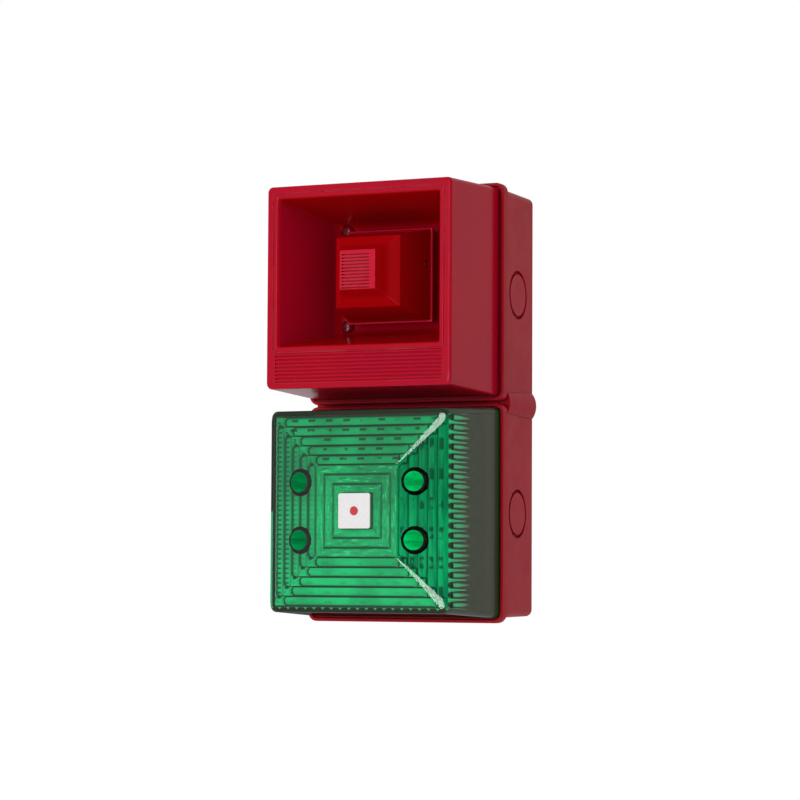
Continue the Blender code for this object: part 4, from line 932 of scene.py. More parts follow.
def gaskets():
    """Rubber rings with a rounded sealing face in the recesses of the boxes."""
    for level, centre in (("upper", UPPER_MID), ("lower", LOWER_MID)):
        low, high, _, half = span(f"{level}_gasket")
        ring = moulding((
            (rect(half.x, half.z, high.y, LIP_CORNER / 2), 0.3 * MM),
            (rect(half.x, half.z, low.y, LIP_CORNER / 2), 0.6 * MM),
            (rect(*SEAL_INNER, low.y, BOX_CORNER), 0.6 * MM),
            (rect(*SEAL_INNER, high.y, BOX_CORNER), 0.3 * MM)), closed=True)
        piece(f"{level}_seal", raised(ring, centre.z), RUBBER, f"{level}_gasket")


def link_outline():
    """Bar with a round bead at each end, as (x, z) points."""
    bead_x = LINK_HALF.x - LINK_BEAD_R
    meet = math.asin(LINK_BAR_HALF_Z / LINK_BEAD_R)
    sweep = 2 * (math.pi - meet)
    points = []
    for side, start in ((1, -math.pi + meet), (-1, meet)):
        for step in range(ROUND_STEPS + 1):
            angle = start + sweep * step / ROUND_STEPS
            points.append((side * bead_x + LINK_BEAD_R * math.cos(angle),
                           LINK_BEAD_R * math.sin(angle)))
    return points


def link_bar():
    """Link between the boxes, hollowed to their outlines with a fine joint line."""
    bar = outline_bar(link_outline(), 0.0, LINK_LOW.y, 0.5 * MM)
    back, front = [[half + LINK_JOINT for half in face] for face in (BOX_BACK, BOX_FRONT)]
    for centre in (UPPER_MID, LOWER_MID):
        bar = shaped(bar, moulding((
            (rect(*back, MM, BOX_CORNER, centre.z), 0.0),
            (rect(*front, LIP_Y, BOX_CORNER, centre.z), 0.0))))
    bar = shaped(bar, drum(BUSH_HOLE_R, -2 * LINK_BEAD_R, 2 * LINK_BEAD_R, "Z",
                           (0.0, BUSH_MID.y, 0.0)))
    piece("link_bar", bar, RED_MATT, "link_spacer")


# ---------------------------------------------------------------- horn

HORN_CORNER = 1.8 * MM
HORN_WALL = 2.5 * MM
HORN_FRONT = (49.2 * MM, 49.2 * MM)
HORN_FRONT_RISE = 0.5 * MM           # front face above the middle of the shell
HORN_FRONT_CORNER = 2.6 * MM
HORN_BACK_Y = -39.7 * MM
SPIGOT = (49.2 * MM, 50.2 * MM)
SPIGOT_END_Y = -38.2 * MM
MOUTH = (42.9 * MM, 35.85 * MM)
MOUTH_CORNER = 0.8 * MM
THROAT = (31.0 * MM, 27.0 * MM)
THROAT_Y = -51.0 * MM
THROAT_BACK_Y = THROAT_Y + 2.5 * MM
THROAT_COVE = 5.5 * MM
SCREW_POCKET_R = 3.7 * MM
SCREW_POCKET_DEEP = 8.0 * MM
FLARE_WALL = 2.2 * MM
TUBE_R = 8.6 * MM
TUBE_BORE_R = 7.0 * MM
TUBE_FRONT_Y = -79.0 * MM
FRAME_LINE = 2.7 * MM                # mouth edge to the fine groove round it
FRAME_GROOVE = 0.5 * MM
FRAME_GROOVE_DEEP = 0.45 * MM
FRAME_GROOVE_SLOPE = 0.12 * MM
PANEL_HALF_X = 44.6 * MM
PANEL_PITCH = 1.8 * MM
PANEL_RIBS = 8
PANEL_TOP = HORN_AXIS - MOUTH[1] - FRAME_LINE - FRAME_GROOVE
PANEL_BOTTOM = PANEL_TOP - PANEL_RIBS * PANEL_PITCH
PANEL_DEEP = 0.9 * MM
PANEL_BACK_Y = HORN_LOW.y + PANEL_DEEP + 0.4 * MM
RIB_SHARE = 0.72                     # rib width as a share of the pitch
RIB_FULLNESS = 0.7                   # below 1 the ribs are fuller than half round
SLEEVE_R = 4.2 * MM
POST_BITE = 0.9 * MM                 # how far the board posts run into the flare wall


def horn_frame(reach, y, corner):
    """Rectangle round the mouth, reach beyond its edge."""
    return rect(MOUTH[0] + reach, MOUTH[1] + reach, y, corner, HORN_AXIS)


def horn_circle(radius, y):
    return rect(radius, radius, y, radius, HORN_AXIS)


def horn_shell():
    """Shell, rim, flare, throat tube and back in one closed skin, about the module's centre."""
    front = HORN_LOW.y
    inner_front = front + HORN_WALL
    groove_y = front + FRAME_GROOVE_DEEP
    groove_in = FRAME_LINE - FRAME_GROOVE / 2
    groove_out = FRAME_LINE + FRAME_GROOVE / 2
    return moulding((
        (rect(*SPIGOT, SPIGOT_END_Y, HORN_CORNER), 0.3 * MM),
        (rect(*SPIGOT, HORN_BACK_Y, HORN_CORNER), 0.1 * MM),
        (rect(HORN_HALF.x, HORN_HALF.z, HORN_BACK_Y, HORN_CORNER), 0.5 * MM),
        (rect(*HORN_FRONT, front, HORN_FRONT_CORNER, HORN_FRONT_RISE), 1.25 * MM),
        (horn_frame(groove_out, front, 1.6 * MM), 0.12 * MM),
        (horn_frame(groove_out - FRAME_GROOVE_SLOPE, groove_y, 1.5 * MM), 0.0),
        (horn_frame(groove_in + FRAME_GROOVE_SLOPE, groove_y, 1.3 * MM), 0.0),
        (horn_frame(groove_in, front, 1.2 * MM), 0.5 * MM),
        (horn_frame(0.0, front, MOUTH_CORNER), 1.9 * MM),
        (rect(*THROAT, THROAT_Y, MOUTH_CORNER, HORN_AXIS), THROAT_COVE),
        (horn_circle(TUBE_R, THROAT_Y), 0.6 * MM),
        (horn_circle(TUBE_R, TUBE_FRONT_Y), 0.5 * MM),
        (horn_circle(TUBE_BORE_R, TUBE_FRONT_Y), 0.5 * MM),
        (horn_circle(TUBE_BORE_R, THROAT_BACK_Y), 0.3 * MM),
        (rect(THROAT[0] + FLARE_WALL, THROAT[1] + FLARE_WALL, THROAT_BACK_Y, 1.2 * MM, HORN_AXIS),
         1.0 * MM),
        (horn_frame(FLARE_WALL, inner_front, 1.2 * MM), 0.6 * MM),
        (rect(HORN_FRONT[0] - HORN_WALL, HORN_FRONT[1] - HORN_WALL, inner_front, MM), 0.8 * MM),
        (rect(HORN_HALF.x - HORN_WALL, HORN_HALF.z - HORN_WALL, SPIGOT_END_Y, MM), 0.3 * MM)),
        closed=True)


def rib_sheet():
    """Corrugated strip of rounded ribs that fills the panel's pocket."""
    rib_steps = 8
    valley = HORN_LOW.y + PANEL_DEEP
    outline = []
    for index in range(PANEL_RIBS):
        for step in range(rib_steps + 1):
            angle = math.pi * step / rib_steps
            across = (1 - math.cos(angle)) / 2 * RIB_SHARE * PANEL_PITCH
            outline.append((PANEL_TOP - index * PANEL_PITCH - across,
                            valley - PANEL_DEEP * math.sin(angle) ** RIB_FULLNESS))
    outline += [(PANEL_BOTTOM, valley), (PANEL_BOTTOM, PANEL_BACK_Y), (PANEL_TOP, PANEL_BACK_Y)]
    return loft([[Vector((side * PANEL_HALF_X, y, z)) for z, y in outline] for side in SIDES],
                capped=True)


def horn_housing():
    """Horn moulding with its sleeves, posts, panel pocket and screw holes, and its ribs."""
    covers = screw_places("horn", HORN_MID)
    boards = screw_places("sounder_board", HORN_MID, BOARD_SCREWS)
    post_back = HORN_HIGH.y
    added = drums(SLEEVE_R, HORN_BOSS_Y - 0.3 * MM, THROAT_BACK_Y - MM, covers, 0.3 * MM, 40)
    added += drums(POST_R, post_back, HORN_LOW.y + 1.5 * MM, boards, 0.3 * MM)
    mouth_void = moulding((
        (rect(THROAT[0] + POST_BITE, THROAT[1] + POST_BITE, THROAT_Y, MOUTH_CORNER, HORN_AXIS),
         0.0), (horn_frame(POST_BITE, HORN_LOW.y - MM, MOUTH_CORNER), 0.0)))
    body = shaped(horn_shell(), shaped(gathered(added), mouth_void), "UNION")
    body = shaped(body, plug_posts(), "UNION")
    cuts = [slab((-PANEL_HALF_X, HORN_LOW.y - MM, PANEL_BOTTOM),
                 (PANEL_HALF_X, PANEL_BACK_Y, PANEL_TOP))]
    cuts += drums(PILOT_R, THROAT_Y - MM, HORN_BOSS_Y + MM, covers)
    cuts += drums(SCREW_POCKET_R, THROAT_Y, THROAT_Y - SCREW_POCKET_DEEP, covers, steps=48)
    cuts += drums(POST_PILOT_R, post_back + MM, post_back - POST_PILOT_DEPTH, boards, steps=24)
    body = shaped(body, gathered(cuts))
    # faces in the mouth take the red with painted shade on faces turned from the front
    for face in body.faces:
        at = face.calc_center_median()
        inside = abs(at.x) < MOUTH[0] + MM and abs(at.z - HORN_AXIS) < MOUTH[1] + MM
        face.material_index = int(inside)
    piece("horn_moulding", raised(body, HORN_MID.z), (RED, RED_MOUTH), "horn_housing")
    piece("horn_panel_ribs", raised(rib_sheet(), HORN_MID.z), RED_RIBS, "horn_housing",
          beside=True)


PLUG_BASE, PLUG_RIDGE, PLUG_NECK, PLUG_FACE = (     # distance behind the face, and half width
    (36.9 * MM, 22.4 * MM), (11.6 * MM, 17.2 * MM), (7.2 * MM, 11.2 * MM), (0.0, 9.5 * MM))
PLUG_WALL = 2.0 * MM
PLUG_CORNER = 0.7 * MM
PLUG_GROOVES = 11
PLUG_GROOVE_PITCH = 1.6 * MM
PLUG_GROOVE_HALF = 0.4 * MM
PLUG_GROOVE_DROP = 0.7 * MM          # groove block below the middle of the face
PLUG_GROOVE_DEEP = 1.4 * MM
PLUG_GROOVE_ENDS = (-8.5 * MM, 6.5 * MM)
PLUG_FLANGE = 0.8 * MM
PLUG_POST_X = 12.5 * MM
PLUG_POST_HALF = 3.0 * MM
PLUG_POST_GAP = 0.9 * MM
PLUG_SCREW_R = 1.7 * MM
PLUG_SCREW_MID = span("plug_screw_right")[2]


def plug_half_width(y):
    """Half width of the plug's long outer facet at a depth."""
    (base, base_half), (ridge, ridge_half) = PLUG_BASE, PLUG_RIDGE
    share = (PLUG_LOW.y + base - y) / (base - ridge)
    return base_half + (ridge_half - base_half) * share


def plug_posts():
    """Posts on the throat floor that the plug is screwed to."""
    front_y = PLUG_SCREW_MID.y - PLUG_POST_HALF
    middle_z = PLUG_SCREW_MID.z - HORN_MID.z
    posts = []
    for side in SIDES:
        ends = sorted((side * PLUG_POST_X,
                       side * (plug_half_width(front_y) - PLUG_WALL - PLUG_POST_GAP)))
        posts.append(slab((ends[0], front_y, middle_z - PLUG_POST_HALF),
                          (ends[1], THROAT_Y + MM, middle_z + PLUG_POST_HALF), 0.4 * MM))
    return gathered(posts)


def horn_plug():
    """Square plug: long facets up to a ridge, a concave shoulder, then a ribbed face."""
    face = PLUG_LOW.y
    (base, base_half), (ridge, ridge_half), (neck, neck_half), (_, face_half) = (
        PLUG_BASE, PLUG_RIDGE, PLUG_NECK, PLUG_FACE)
    body = moulding([(square(half, face + behind, corner), radius)
                     for half, behind, corner, radius in (
        (face_half - PLUG_WALL, PLUG_WALL, PLUG_CORNER, 0.0),
        (ridge_half - PLUG_WALL, ridge + PLUG_WALL, PLUG_CORNER, 0.4 * MM),
        (base_half - PLUG_WALL, base - MM, PLUG_CORNER, 0.0),
        (base_half - PLUG_WALL, base, PLUG_CORNER, 0.4 * MM),
        (base_half + PLUG_FLANGE, base, PLUG_CORNER, 0.5 * MM),
        (base_half + PLUG_FLANGE, base - 1.4 * MM, PLUG_CORNER, 0.5 * MM),
        (base_half - 0.3 * MM, base - 1.6 * MM, PLUG_CORNER, 0.3 * MM),
        (ridge_half, ridge, PLUG_CORNER, 0.4 * MM),
        (neck_half + 1.2 * MM, neck, PLUG_CORNER, 2.2 * MM),
        (face_half + 0.9 * MM, 2.2 * MM, PLUG_CORNER, 1.2 * MM),
        (face_half, 0.0, PLUG_CORNER, 0.5 * MM),
        (face_half - MM, 0.0, PLUG_CORNER / 2, 0.0))])
    grooves = []
    for index in range(PLUG_GROOVES):
        z = (index - (PLUG_GROOVES - 1) / 2) * PLUG_GROOVE_PITCH - PLUG_GROOVE_DROP
        grooves.append(slab((PLUG_GROOVE_ENDS[0], face - MM, z - PLUG_GROOVE_HALF),
                            (PLUG_GROOVE_ENDS[1], face + PLUG_GROOVE_DEEP, z + PLUG_GROOVE_HALF)))
    body = shaped(body, gathered(grooves))
    at = (0.0, PLUG_SCREW_MID.y, PLUG_SCREW_MID.z - PLUG_MID.z)
    body = shaped(body, gathered([
        drum(PLUG_SCREW_R, side * PLUG_POST_X, side * (base_half + MM), "X", at, steps=32)
        for side in SIDES]))
    piece("horn_mouth_plug", raised(body, PLUG_MID.z), RED_PLUG, "horn_plug")


# ---------------------------------------------------------------- screws

# Head radius, head height, shank radius and thread pitch
COVER_SCREW = (3.4 * MM, 2.6 * MM, 1.85 * MM, 0.8 * MM)
BOARD_SCREW = (2.6 * MM, 1.8 * MM, 1.2 * MM, 0.6 * MM)
PLUG_SCREW = (1.4 * MM, 1.9 * MM, 1.0 * MM, 0.5 * MM)
HEAD_DOME = ((0.35, 1.0), (0.68, 0.92), (0.88, 0.74), (0.98, 0.48))     # shares of the head
THREAD_ROOT = 0.8                    # radius between the threads as a share of the shank's
BLADE_TAPER = 0.45
RECESS_SHARE = 0.55                  # driver recess as a share of the head
RECESS_TURNS = {
    ("Y", -1): (0.0, "X"), ("Y", 1): (math.pi, "X"), ("X", 1): (math.pi / 2, "Z"),
    ("X", -1): (-math.pi / 2, "Z")}


def cross_recess(radius, depth, axis, outward):
    """Two crossed tapering blades for a driver recess."""
    thin = radius * 0.26
    blades = []
    for turn in (0.0, math.pi / 2):
        blade = slab((-radius, -depth, -thin / 2), (radius, depth, thin / 2))
        for vert in blade.verts:
            if vert.co.y > 0.0:
                vert.co.x *= BLADE_TAPER
        blades.append(rotated(blade, turn, "Y"))
    return rotated(shaped(*blades, "UNION"), *RECESS_TURNS[(axis, outward)])


def threaded_profile(head_r, head_height, shank_r, length, pitch):
    """Domed head and ridged shank with the seat at 0, as (radius, along) points."""
    points = [(head_r * radius, head_height * along) for radius, along in HEAD_DOME]
    points += [(head_r, 0.2 * MM), (head_r * 0.97, 0.0), (shank_r, 0.0), (shank_r, -pitch)]
    root_r = shank_r * THREAD_ROOT
    along = pitch
    while along < length - 2 * pitch:
        points += [(shank_r, -along - 0.35 * pitch), (root_r, -along - 0.75 * pitch),
                   (root_r, -along - pitch)]
        along += pitch
    return points + [(shank_r * 0.75, 0.6 * pitch - length), (shank_r * 0.25, -length)]


def screw_piece(node, sizes, outward=-1, axis="Y", steps=28, finish=STEEL):
    """Cross-head screw that fills its CAD node's box."""
    head_r, head_height, shank_r, pitch = sizes
    low, high, at, _ = span(node)
    index = "XY".index(axis)
    length = high[index] - low[index] - head_height
    at[index] = (high if outward > 0 else low)[index] - outward * head_height
    profile = threaded_profile(head_r, head_height, shank_r, length, pitch)
    bm = turned([(radius, outward * along, 0.0) for radius, along in profile], axis, at, steps)
    cut = cross_recess(head_r * RECESS_SHARE, head_height * RECESS_SHARE, axis, outward)
    top = Vector(at)
    top[index] += outward * head_height
    bmesh.ops.translate(cut, vec=top, verts=cut.verts)
    piece(f"{node}_cross_head", shaped(bm, cut), finish, node)


def screws():
    # the horn screws take the red of their painted reflection
    for kind, finish in (("horn", SCREW_RED_REFLECTION), ("lens", STEEL)):
        for corner in CORNER_NAMES:
            screw_piece(f"{kind}_screw_{corner}", COVER_SCREW, steps=40, finish=finish)
    for board, outward in (("sounder", 1), ("beacon", -1)):
        for index in BOARD_SCREWS:
            screw_piece(f"{board}_board_screw_{index}", BOARD_SCREW, outward)
    for side, outward in (("left", -1), ("right", 1)):
        screw_piece(f"plug_screw_{side}", PLUG_SCREW, outward, "X")


# ---------------------------------------------------------------- lens

def roof_y(x, z):
    """Depth of the smooth outer front of the lens at a place."""
    run = LENS_FRONT[0] - PLATEAU_HALF
    share = max(0.0, max(abs(x), abs(z)) - PLATEAU_HALF) / run
    return LENS_LOW.y + LENS_RISE * min(1.0, share)


def half_round(offset):
    return math.sqrt(max(0.0, 1.0 - offset * offset))


def rib_height(i, k):
    """Height of the moulded ribs at a grid place, 0 in a groove and 1 on a crown."""
    far = max(abs(i), abs(k))
    near = min(abs(i), abs(k))
    if far < LABEL_STEPS:
        return 1.0
    if far < FIRST_BAR_STEPS:
        across = ((far - LABEL_STEPS) % RIB_STEPS) / RIB_STEPS
        return half_round(2 * across - 1)
    last = (GRID_HALF_STEPS - FIRST_BAR_STEPS) // RIB_STEPS - 1
    inner = FIRST_BAR_STEPS + min((far - FIRST_BAR_STEPS) // RIB_STEPS, last) * RIB_STEPS
    radius = RIB_STEPS / 2
    beyond = max(0.0, near - (inner - radius))
    distance = math.hypot(beyond, far - inner - radius) / radius
    if distance <= 1.0:
        return half_round(distance)
    return min(1.0, (distance - 1.0) * 2.2)


def squared(point, half_x, half_z, corner):
    """Moves a point of the grid's border on to a rounded rectangle."""
    edge = GRID_HALF_STEPS * GRID_STEP
    x = point[0] / edge * half_x
    z = point[1] / edge * half_z
    inner_x = max(-(half_x - corner), min(half_x - corner, x))
    inner_z = max(-(half_z - corner), min(half_z - corner, z))
    away = Vector((x - inner_x, z - inner_z))
    if away.length > 1e-9:
        away = away.normalized() * corner
    return inner_x + away.x, inner_z + away.y


def border_places():
    """Grid places round the border of the ribbed front, in order."""
    n = GRID_HALF_STEPS
    places = [(i, -n) for i in range(-n, n)]
    places += [(n, k) for k in range(-n, n)]
    places += [(i, n) for i in range(n, -n, -1)]
    places += [(-n, k) for k in range(n, -n, -1)]
    return places


BORDER = border_places()


def flute(place):
    """Depth share of the flutes along the side walls at a border place."""
    i, k = place
    along = k if abs(i) == GRID_HALF_STEPS else i
    if abs(along) > GRID_HALF_STEPS - RIB_STEPS / 2:
        return 1.0
    return half_round(2 * (along % RIB_STEPS) / RIB_STEPS - 1)


def lens_ring(half_x, half_z, y, corner, flutes=0.0):
    """Ring of the lens at a depth, pulled in by the flutes where they run."""
    ring = []
    for place in BORDER:
        grid = (place[0] * GRID_STEP, place[1] * GRID_STEP)
        pull = flutes * (1.0 - flute(place))
        x, z = squared(grid, half_x - pull, half_z - pull, corner)
        ring.append(Vector((x, y, z)))
    return ring


def plateau_ring():
    """Edge ring of the flat centre, gathered at its corners where the hips start."""
    half = PLATEAU_HALF
    inner = min(LENS_FRONT) - HIP_R
    straight = (half - HIP_TIP_R) / inner
    ring = []
    for place in BORDER:
        x = place[0] / GRID_HALF_STEPS * LENS_FRONT[0]
        z = place[1] / GRID_HALF_STEPS * LENS_FRONT[1]
        out = Vector((max(0.0, abs(x) - inner), max(0.0, abs(z) - inner)))
        if min(out) > 0.0:
            out = (half - HIP_TIP_R) * Vector((1.0, 1.0)) + HIP_TIP_R * out.normalized()
            flat_x = math.copysign(out.x, x)
            flat_z = math.copysign(out.y, z)
        elif abs(x) > inner:
            flat_x = math.copysign(half, x)
            flat_z = max(-inner, min(inner, z)) * straight
        else:
            flat_x = max(-inner, min(inner, x)) * straight
            flat_z = math.copysign(half, z)
        ring.append(Vector((flat_x, LENS_LOW.y, flat_z)))
    return ring


def lens_wall_half(y):
    """Half width and half height of the outer side wall at a depth."""
    share = (y - LENS_FRONT_Y) / LENS_DEPTH
    return (LENS_FRONT[0] + (LENS_HALF.x - LENS_FRONT[0]) * share,
            LENS_FRONT[1] + (LENS_HALF.z - LENS_FRONT[1]) * share)


LENS_SHOULDER = (                    # mm behind the front edge, inset and corner radius
    (0.1, 0.35, 6.6), (0.5, 0.1, 5.0), (1.1, 0.0, 3.4), (2.2, 0.0, 2.6))
FLUTE_STEPS = 7
FLUTE_STEP_DEPTH = 0.12              # share of the depth at which a flute starts at its rear
FLUTE_FRONT = 4.6 * MM


def flute_run():
    """Depth and flute share of each ring inside the side walls, from rear to front."""
    rear = LENS_FRONT_Y + FLUTE_LENGTH
    run = [(LENS_HIGH.y - 12 * MM, 0.0), (rear + 2 * MM, 0.0), (rear, FLUTE_STEP_DEPTH)]
    for step in range(1, FLUTE_STEPS + 1):
        rise = half_round(1 - step / FLUTE_STEPS) * (1.0 - FLUTE_STEP_DEPTH)
        run.append((rear - step / FLUTE_STEPS * (FLUTE_LENGTH - FLUTE_FRONT),
                    rise + FLUTE_STEP_DEPTH))
    ends = ((3.6, 0.8), (3.0, 0.45), (2.7, 0.1))
    return run + [(LENS_FRONT_Y + behind * MM, share) for behind, share in ends]


def lens_body():
    """Closed lens: smooth outside, half-round ribs and flutes on its inner face."""
    pocket = LABEL_STEPS * GRID_STEP
    half_x, half_z, back = LENS_HALF.x, LENS_HALF.z, LENS_HIGH.y
    inner = plateau_ring()
    outer = lens_ring(LENS_FRONT[0] - 0.9 * MM, LENS_FRONT[1] - 0.9 * MM, LENS_FRONT_Y - 0.1 * MM,
                      HIP_R)
    rings = [lens_ring(pocket, pocket, LENS_LOW.y + LABEL_RECESS, 0.8 * MM),
             lens_ring(pocket + 0.3 * MM, pocket + 0.3 * MM, LENS_LOW.y, 0.8 * MM), inner]
    rings += [[near.lerp(far, share) for near, far in zip(inner, outer)] for share in HIP_SHARES]
    rings.append(outer)
    for behind, inset, corner in LENS_SHOULDER:
        y = LENS_FRONT_Y + behind * MM
        wide, tall = lens_wall_half(y)
        rings.append(lens_ring(wide - inset * MM, tall - inset * MM, y, corner * MM))
    rings.append(lens_ring(half_x, half_z, back - 0.4 * MM, LENS_CORNER))
    outside = len(rings)
    rings += [lens_ring(half_x - 0.3 * MM, half_z - 0.3 * MM, back, LENS_CORNER),
              lens_ring(half_x - LENS_WALL, half_z - LENS_WALL, back, MM)]
    for y, share in flute_run():
        wide, tall = lens_wall_half(y)
        side = SIDE_WALL + (LENS_WALL - SIDE_WALL) * min(1.0, (y - LENS_FRONT_Y) / FLUTE_LENGTH)
        rings.append(lens_ring(wide - side, tall - LENS_WALL, y, MM, share * FLUTE_DEEP))
    bm = bmesh.new()
    rows = [[bm.verts.new(point) for point in ring] for ring in rings]
    for index, (lower, upper) in enumerate(zip(rows, rows[1:])):
        join_rows(bm, lower, upper, len(BORDER), SKIN_FACE if index < outside else FLUTE_FACE)
    bm.faces.new(rows[0])
    ribbed_front(bm, rows[-1])
    bmesh.ops.remove_doubles(bm, verts=bm.verts, dist=1e-6)
    bmesh.ops.recalc_face_normals(bm, faces=bm.faces)
    return bm


def ribbed_front(bm, border):
    """Grid of half-round ribs that closes the inside of the lens."""
    n = GRID_HALF_STEPS
    verts = dict(zip(BORDER, border))
    for i in range(1 - n, n):
        for k in range(1 - n, n):
            x, z = i * GRID_STEP, k * GRID_STEP
            y = roof_y(x, z) + LENS_WALL - RIB_RISE * rib_height(i, k)
            verts[(i, k)] = bm.verts.new((x, y, z))
    for i in range(-n, n):
        for k in range(-n, n):
            corners = ((i, k), (i + 1, k), (i + 1, k + 1), (i, k + 1))
            bm.faces.new([verts[corner] for corner in corners]).material_index = RIB_FACE


def beacon_lens():
    """Lens moulding with its four screw wells."""
    body = lens_body()
    floor_y = WELL_END_Y - WELL_FLOOR
    tubes = []
    bores = []
    for x, z in screw_places("lens", LENS_MID):
        tube = drum(WELL_R, WELL_END_Y, LENS_LOW.y, "Y", (x, 0.0, z))
        for vert in tube.verts:
            if vert.co.y < LENS_LOW.y + MM:
                vert.co.y = roof_y(vert.co.x, vert.co.z) + LENS_WALL * 0.3
        tubes.append(painted(tube, TUBE_FACE))
        bores.append(painted(turned((
            (WELL_SCREW_R, WELL_END_Y + MM, 0.0), (WELL_SCREW_R, floor_y, 0.0),
            (WELL_BORE_R, floor_y, 0.4 * MM), (WELL_BORE_R, LENS_LOW.y - MM, 0.0)),
            "Y", (x, 0.0, z)), TUBE_FACE))
    body = shaped(body, gathered(tubes), "UNION")
    body = shaped(body, gathered(bores))
    lens = piece("lens_moulding", raised(body, LENS_MID.z), LENS_MATERIALS, "beacon_lens")
    crease_plateau(lens.data)


def crease_plateau(mesh):
    """Keeps the edge of the flat centre crisp."""
    rim = set()
    for vert in mesh.vertices:
        reach = max(abs(vert.co.x), abs(vert.co.z - LENS_MID.z))
        if abs(vert.co.y - LENS_LOW.y) < 0.01 * MM and reach > PLATEAU_HALF - HIP_TIP_R:
            rim.add(vert.index)
    for edge in mesh.edges:
        if rim.issuperset(edge.vertices):
            edge.use_edge_sharp = True


def label():
    """Thin square label with rounded corners in its recess."""
    low, high, middle, half = span("lens_label")
    film = moulding((
        (rect(half.x, half.z, high.y, MM), 0.0), (rect(half.x, half.z, low.y, MM), 0.2 * MM),
        (rect(half.x - MM, half.z - MM, low.y, 0.6 * MM), 0.0)))
    piece("lens_face_label", raised(film, middle.z), marked_label("label_white", half.x, middle),
          "lens_label")


# ---------------------------------------------------------------- parts inside

CAN_WALL = 2.0 * MM
CAN_FRONT = 3.0 * MM
CAN_OPENING_R = 16.5 * MM
PLATE_HOLE_R = 10.4 * MM
MAGNET_HOLE_R = 13.0 * MM
POLE_R = 9.0 * MM
POLE_HEIGHT = 11.6 * MM
DOME_R = 11.4 * MM
DOME_RISE = 2.6 * MM
FILM_THICK = 0.35 * MM
FILM_ROLL = 0.3 * MM
FILM_ROLL_R = (13.0 * MM, 19.0 * MM)
COIL_R = 9.4 * MM
COIL_TURNS = 22
CAPACITOR_GROOVE = 0.35 * MM
CRIMP_SHARE = 0.16
TUBE_WALL = 0.7 * MM
TUBE_SHOULDER = 0.8 * MM
ELECTRODE_R = 0.9 * MM
FLANGE_THICK = 0.9 * MM
TRIGGER_TURNS = 26
BUSH_BORE_R = 6.2 * MM
BUSH_PITCH = 1.2 * MM
BUSH_THREAD = 0.45 * MM
NUT_CHAMFER = 0.6 * MM
ROTOR_SLOT = (2.2 * MM, 0.35 * MM)
ROTOR_SLOT_DEEP = 0.8 * MM
KEPT_EDGE = 0.25 * MM

KEPT = {
    LAMINATE: ("sounder_board", "beacon_board"),
    BLUE: ("sounder_terminals", "beacon_terminals", "tone_switch", "volume_control"),
    FERRITE: ("sounder_transformer", "beacon_transformer"),
    STEEL: ("tube_clip_left", "tube_clip_right"),
    WHITE: ("reflector", *(f"tone_lever_{index}" for index in range(1, 6))),
    WIRE_RED: ("link_wire_red",), BLACK: ("link_wire_black",)}


def lathed(node, material, corners, axis="Y", closed=True):
    """Turned piece about the middle of its CAD node's box; a closed outline makes a ring."""
    piece(f"{node}_turned", turned(corners, axis, span(node)[2], closed=closed), material, node)


def winding(outer_r, core_r, start, end, turns):
    """Outline of wire turns lying side by side, as corners of a turned profile."""
    step = (end - start) / turns
    corners = []
    for index in range(turns):
        foot = start + index * step
        corners += [(core_r, foot, 0.0), (outer_r, foot + 0.3 * step, 0.0),
                    (outer_r, foot + 0.7 * step, 0.0)]
    return corners + [(core_r, end, 0.0)]


def driver():
    """Can, iron parts and magnet of the sounder."""
    half = span("driver_can")[3]
    wall = half.x - CAN_WALL
    step_r = half.x - 0.4 * MM
    lathed("driver_can", BLACK, (
        (CAN_OPENING_R, -half.y, 0.5 * MM), (half.x, -half.y, 1.2 * MM),
        (half.x, half.y - 2.0 * MM, 0.3 * MM), (step_r, half.y - 1.6 * MM, 0.2 * MM),
        (step_r, half.y, 0.3 * MM), (wall, half.y, 0.3 * MM),
        (wall, CAN_FRONT - half.y, 0.6 * MM), (CAN_OPENING_R, CAN_FRONT - half.y, 0.4 * MM)))
    for node, hole, material, edge in (
            ("driver_top_plate", PLATE_HOLE_R, STEEL, 0.3 * MM),
            ("driver_magnet", MAGNET_HOLE_R, FERRITE, 0.7 * MM)):
        half = span(node)[3]
        lathed(node, material, (
            (hole, -half.y, edge), (half.x, -half.y, edge), (half.x, half.y, edge),
            (hole, half.y, edge)))
    half = span("driver_yoke")[3]
    seat = POLE_HEIGHT - half.y
    lathed("driver_yoke", STEEL, (
        (POLE_R, -half.y, 0.5 * MM), (POLE_R, seat, 0.3 * MM), (half.x, seat, 0.4 * MM),
        (half.x, half.y, 0.4 * MM)), closed=False)


def moving_film():
    """Domed film with two rolls in its flat surround, and the coil behind it."""
    middle, half = span("diaphragm")[2:]
    flat = DOME_RISE - half.y
    low, high = FILM_ROLL_R
    steps = ROUND_STEPS // 2
    front = []
    for step in range(steps + 1):
        radius = half.x * step / steps
        share = min(1.0, max(0.0, (radius - low) / (high - low)))
        if radius < DOME_R:
            rise = DOME_RISE * (1 - (radius / DOME_R) ** 2)
        else:
            rise = FILM_ROLL * math.sin(2 * math.pi * share) ** 2
        front.append((radius, flat - rise, 0.0))
    back = [(radius, along + FILM_THICK, 0.0) for radius, along, _ in reversed(front)]
    piece("diaphragm_film", turned(front + back, "Y", middle), FILM, "diaphragm")
    half = span("voice_coil")[3]
    turns = winding(half.x, half.x - 0.15 * MM, -half.y, half.y, COIL_TURNS)
    lathed("voice_coil", COPPER, [(COIL_R, half.y, 0.0), (COIL_R, -half.y, 0.0)] + turns)


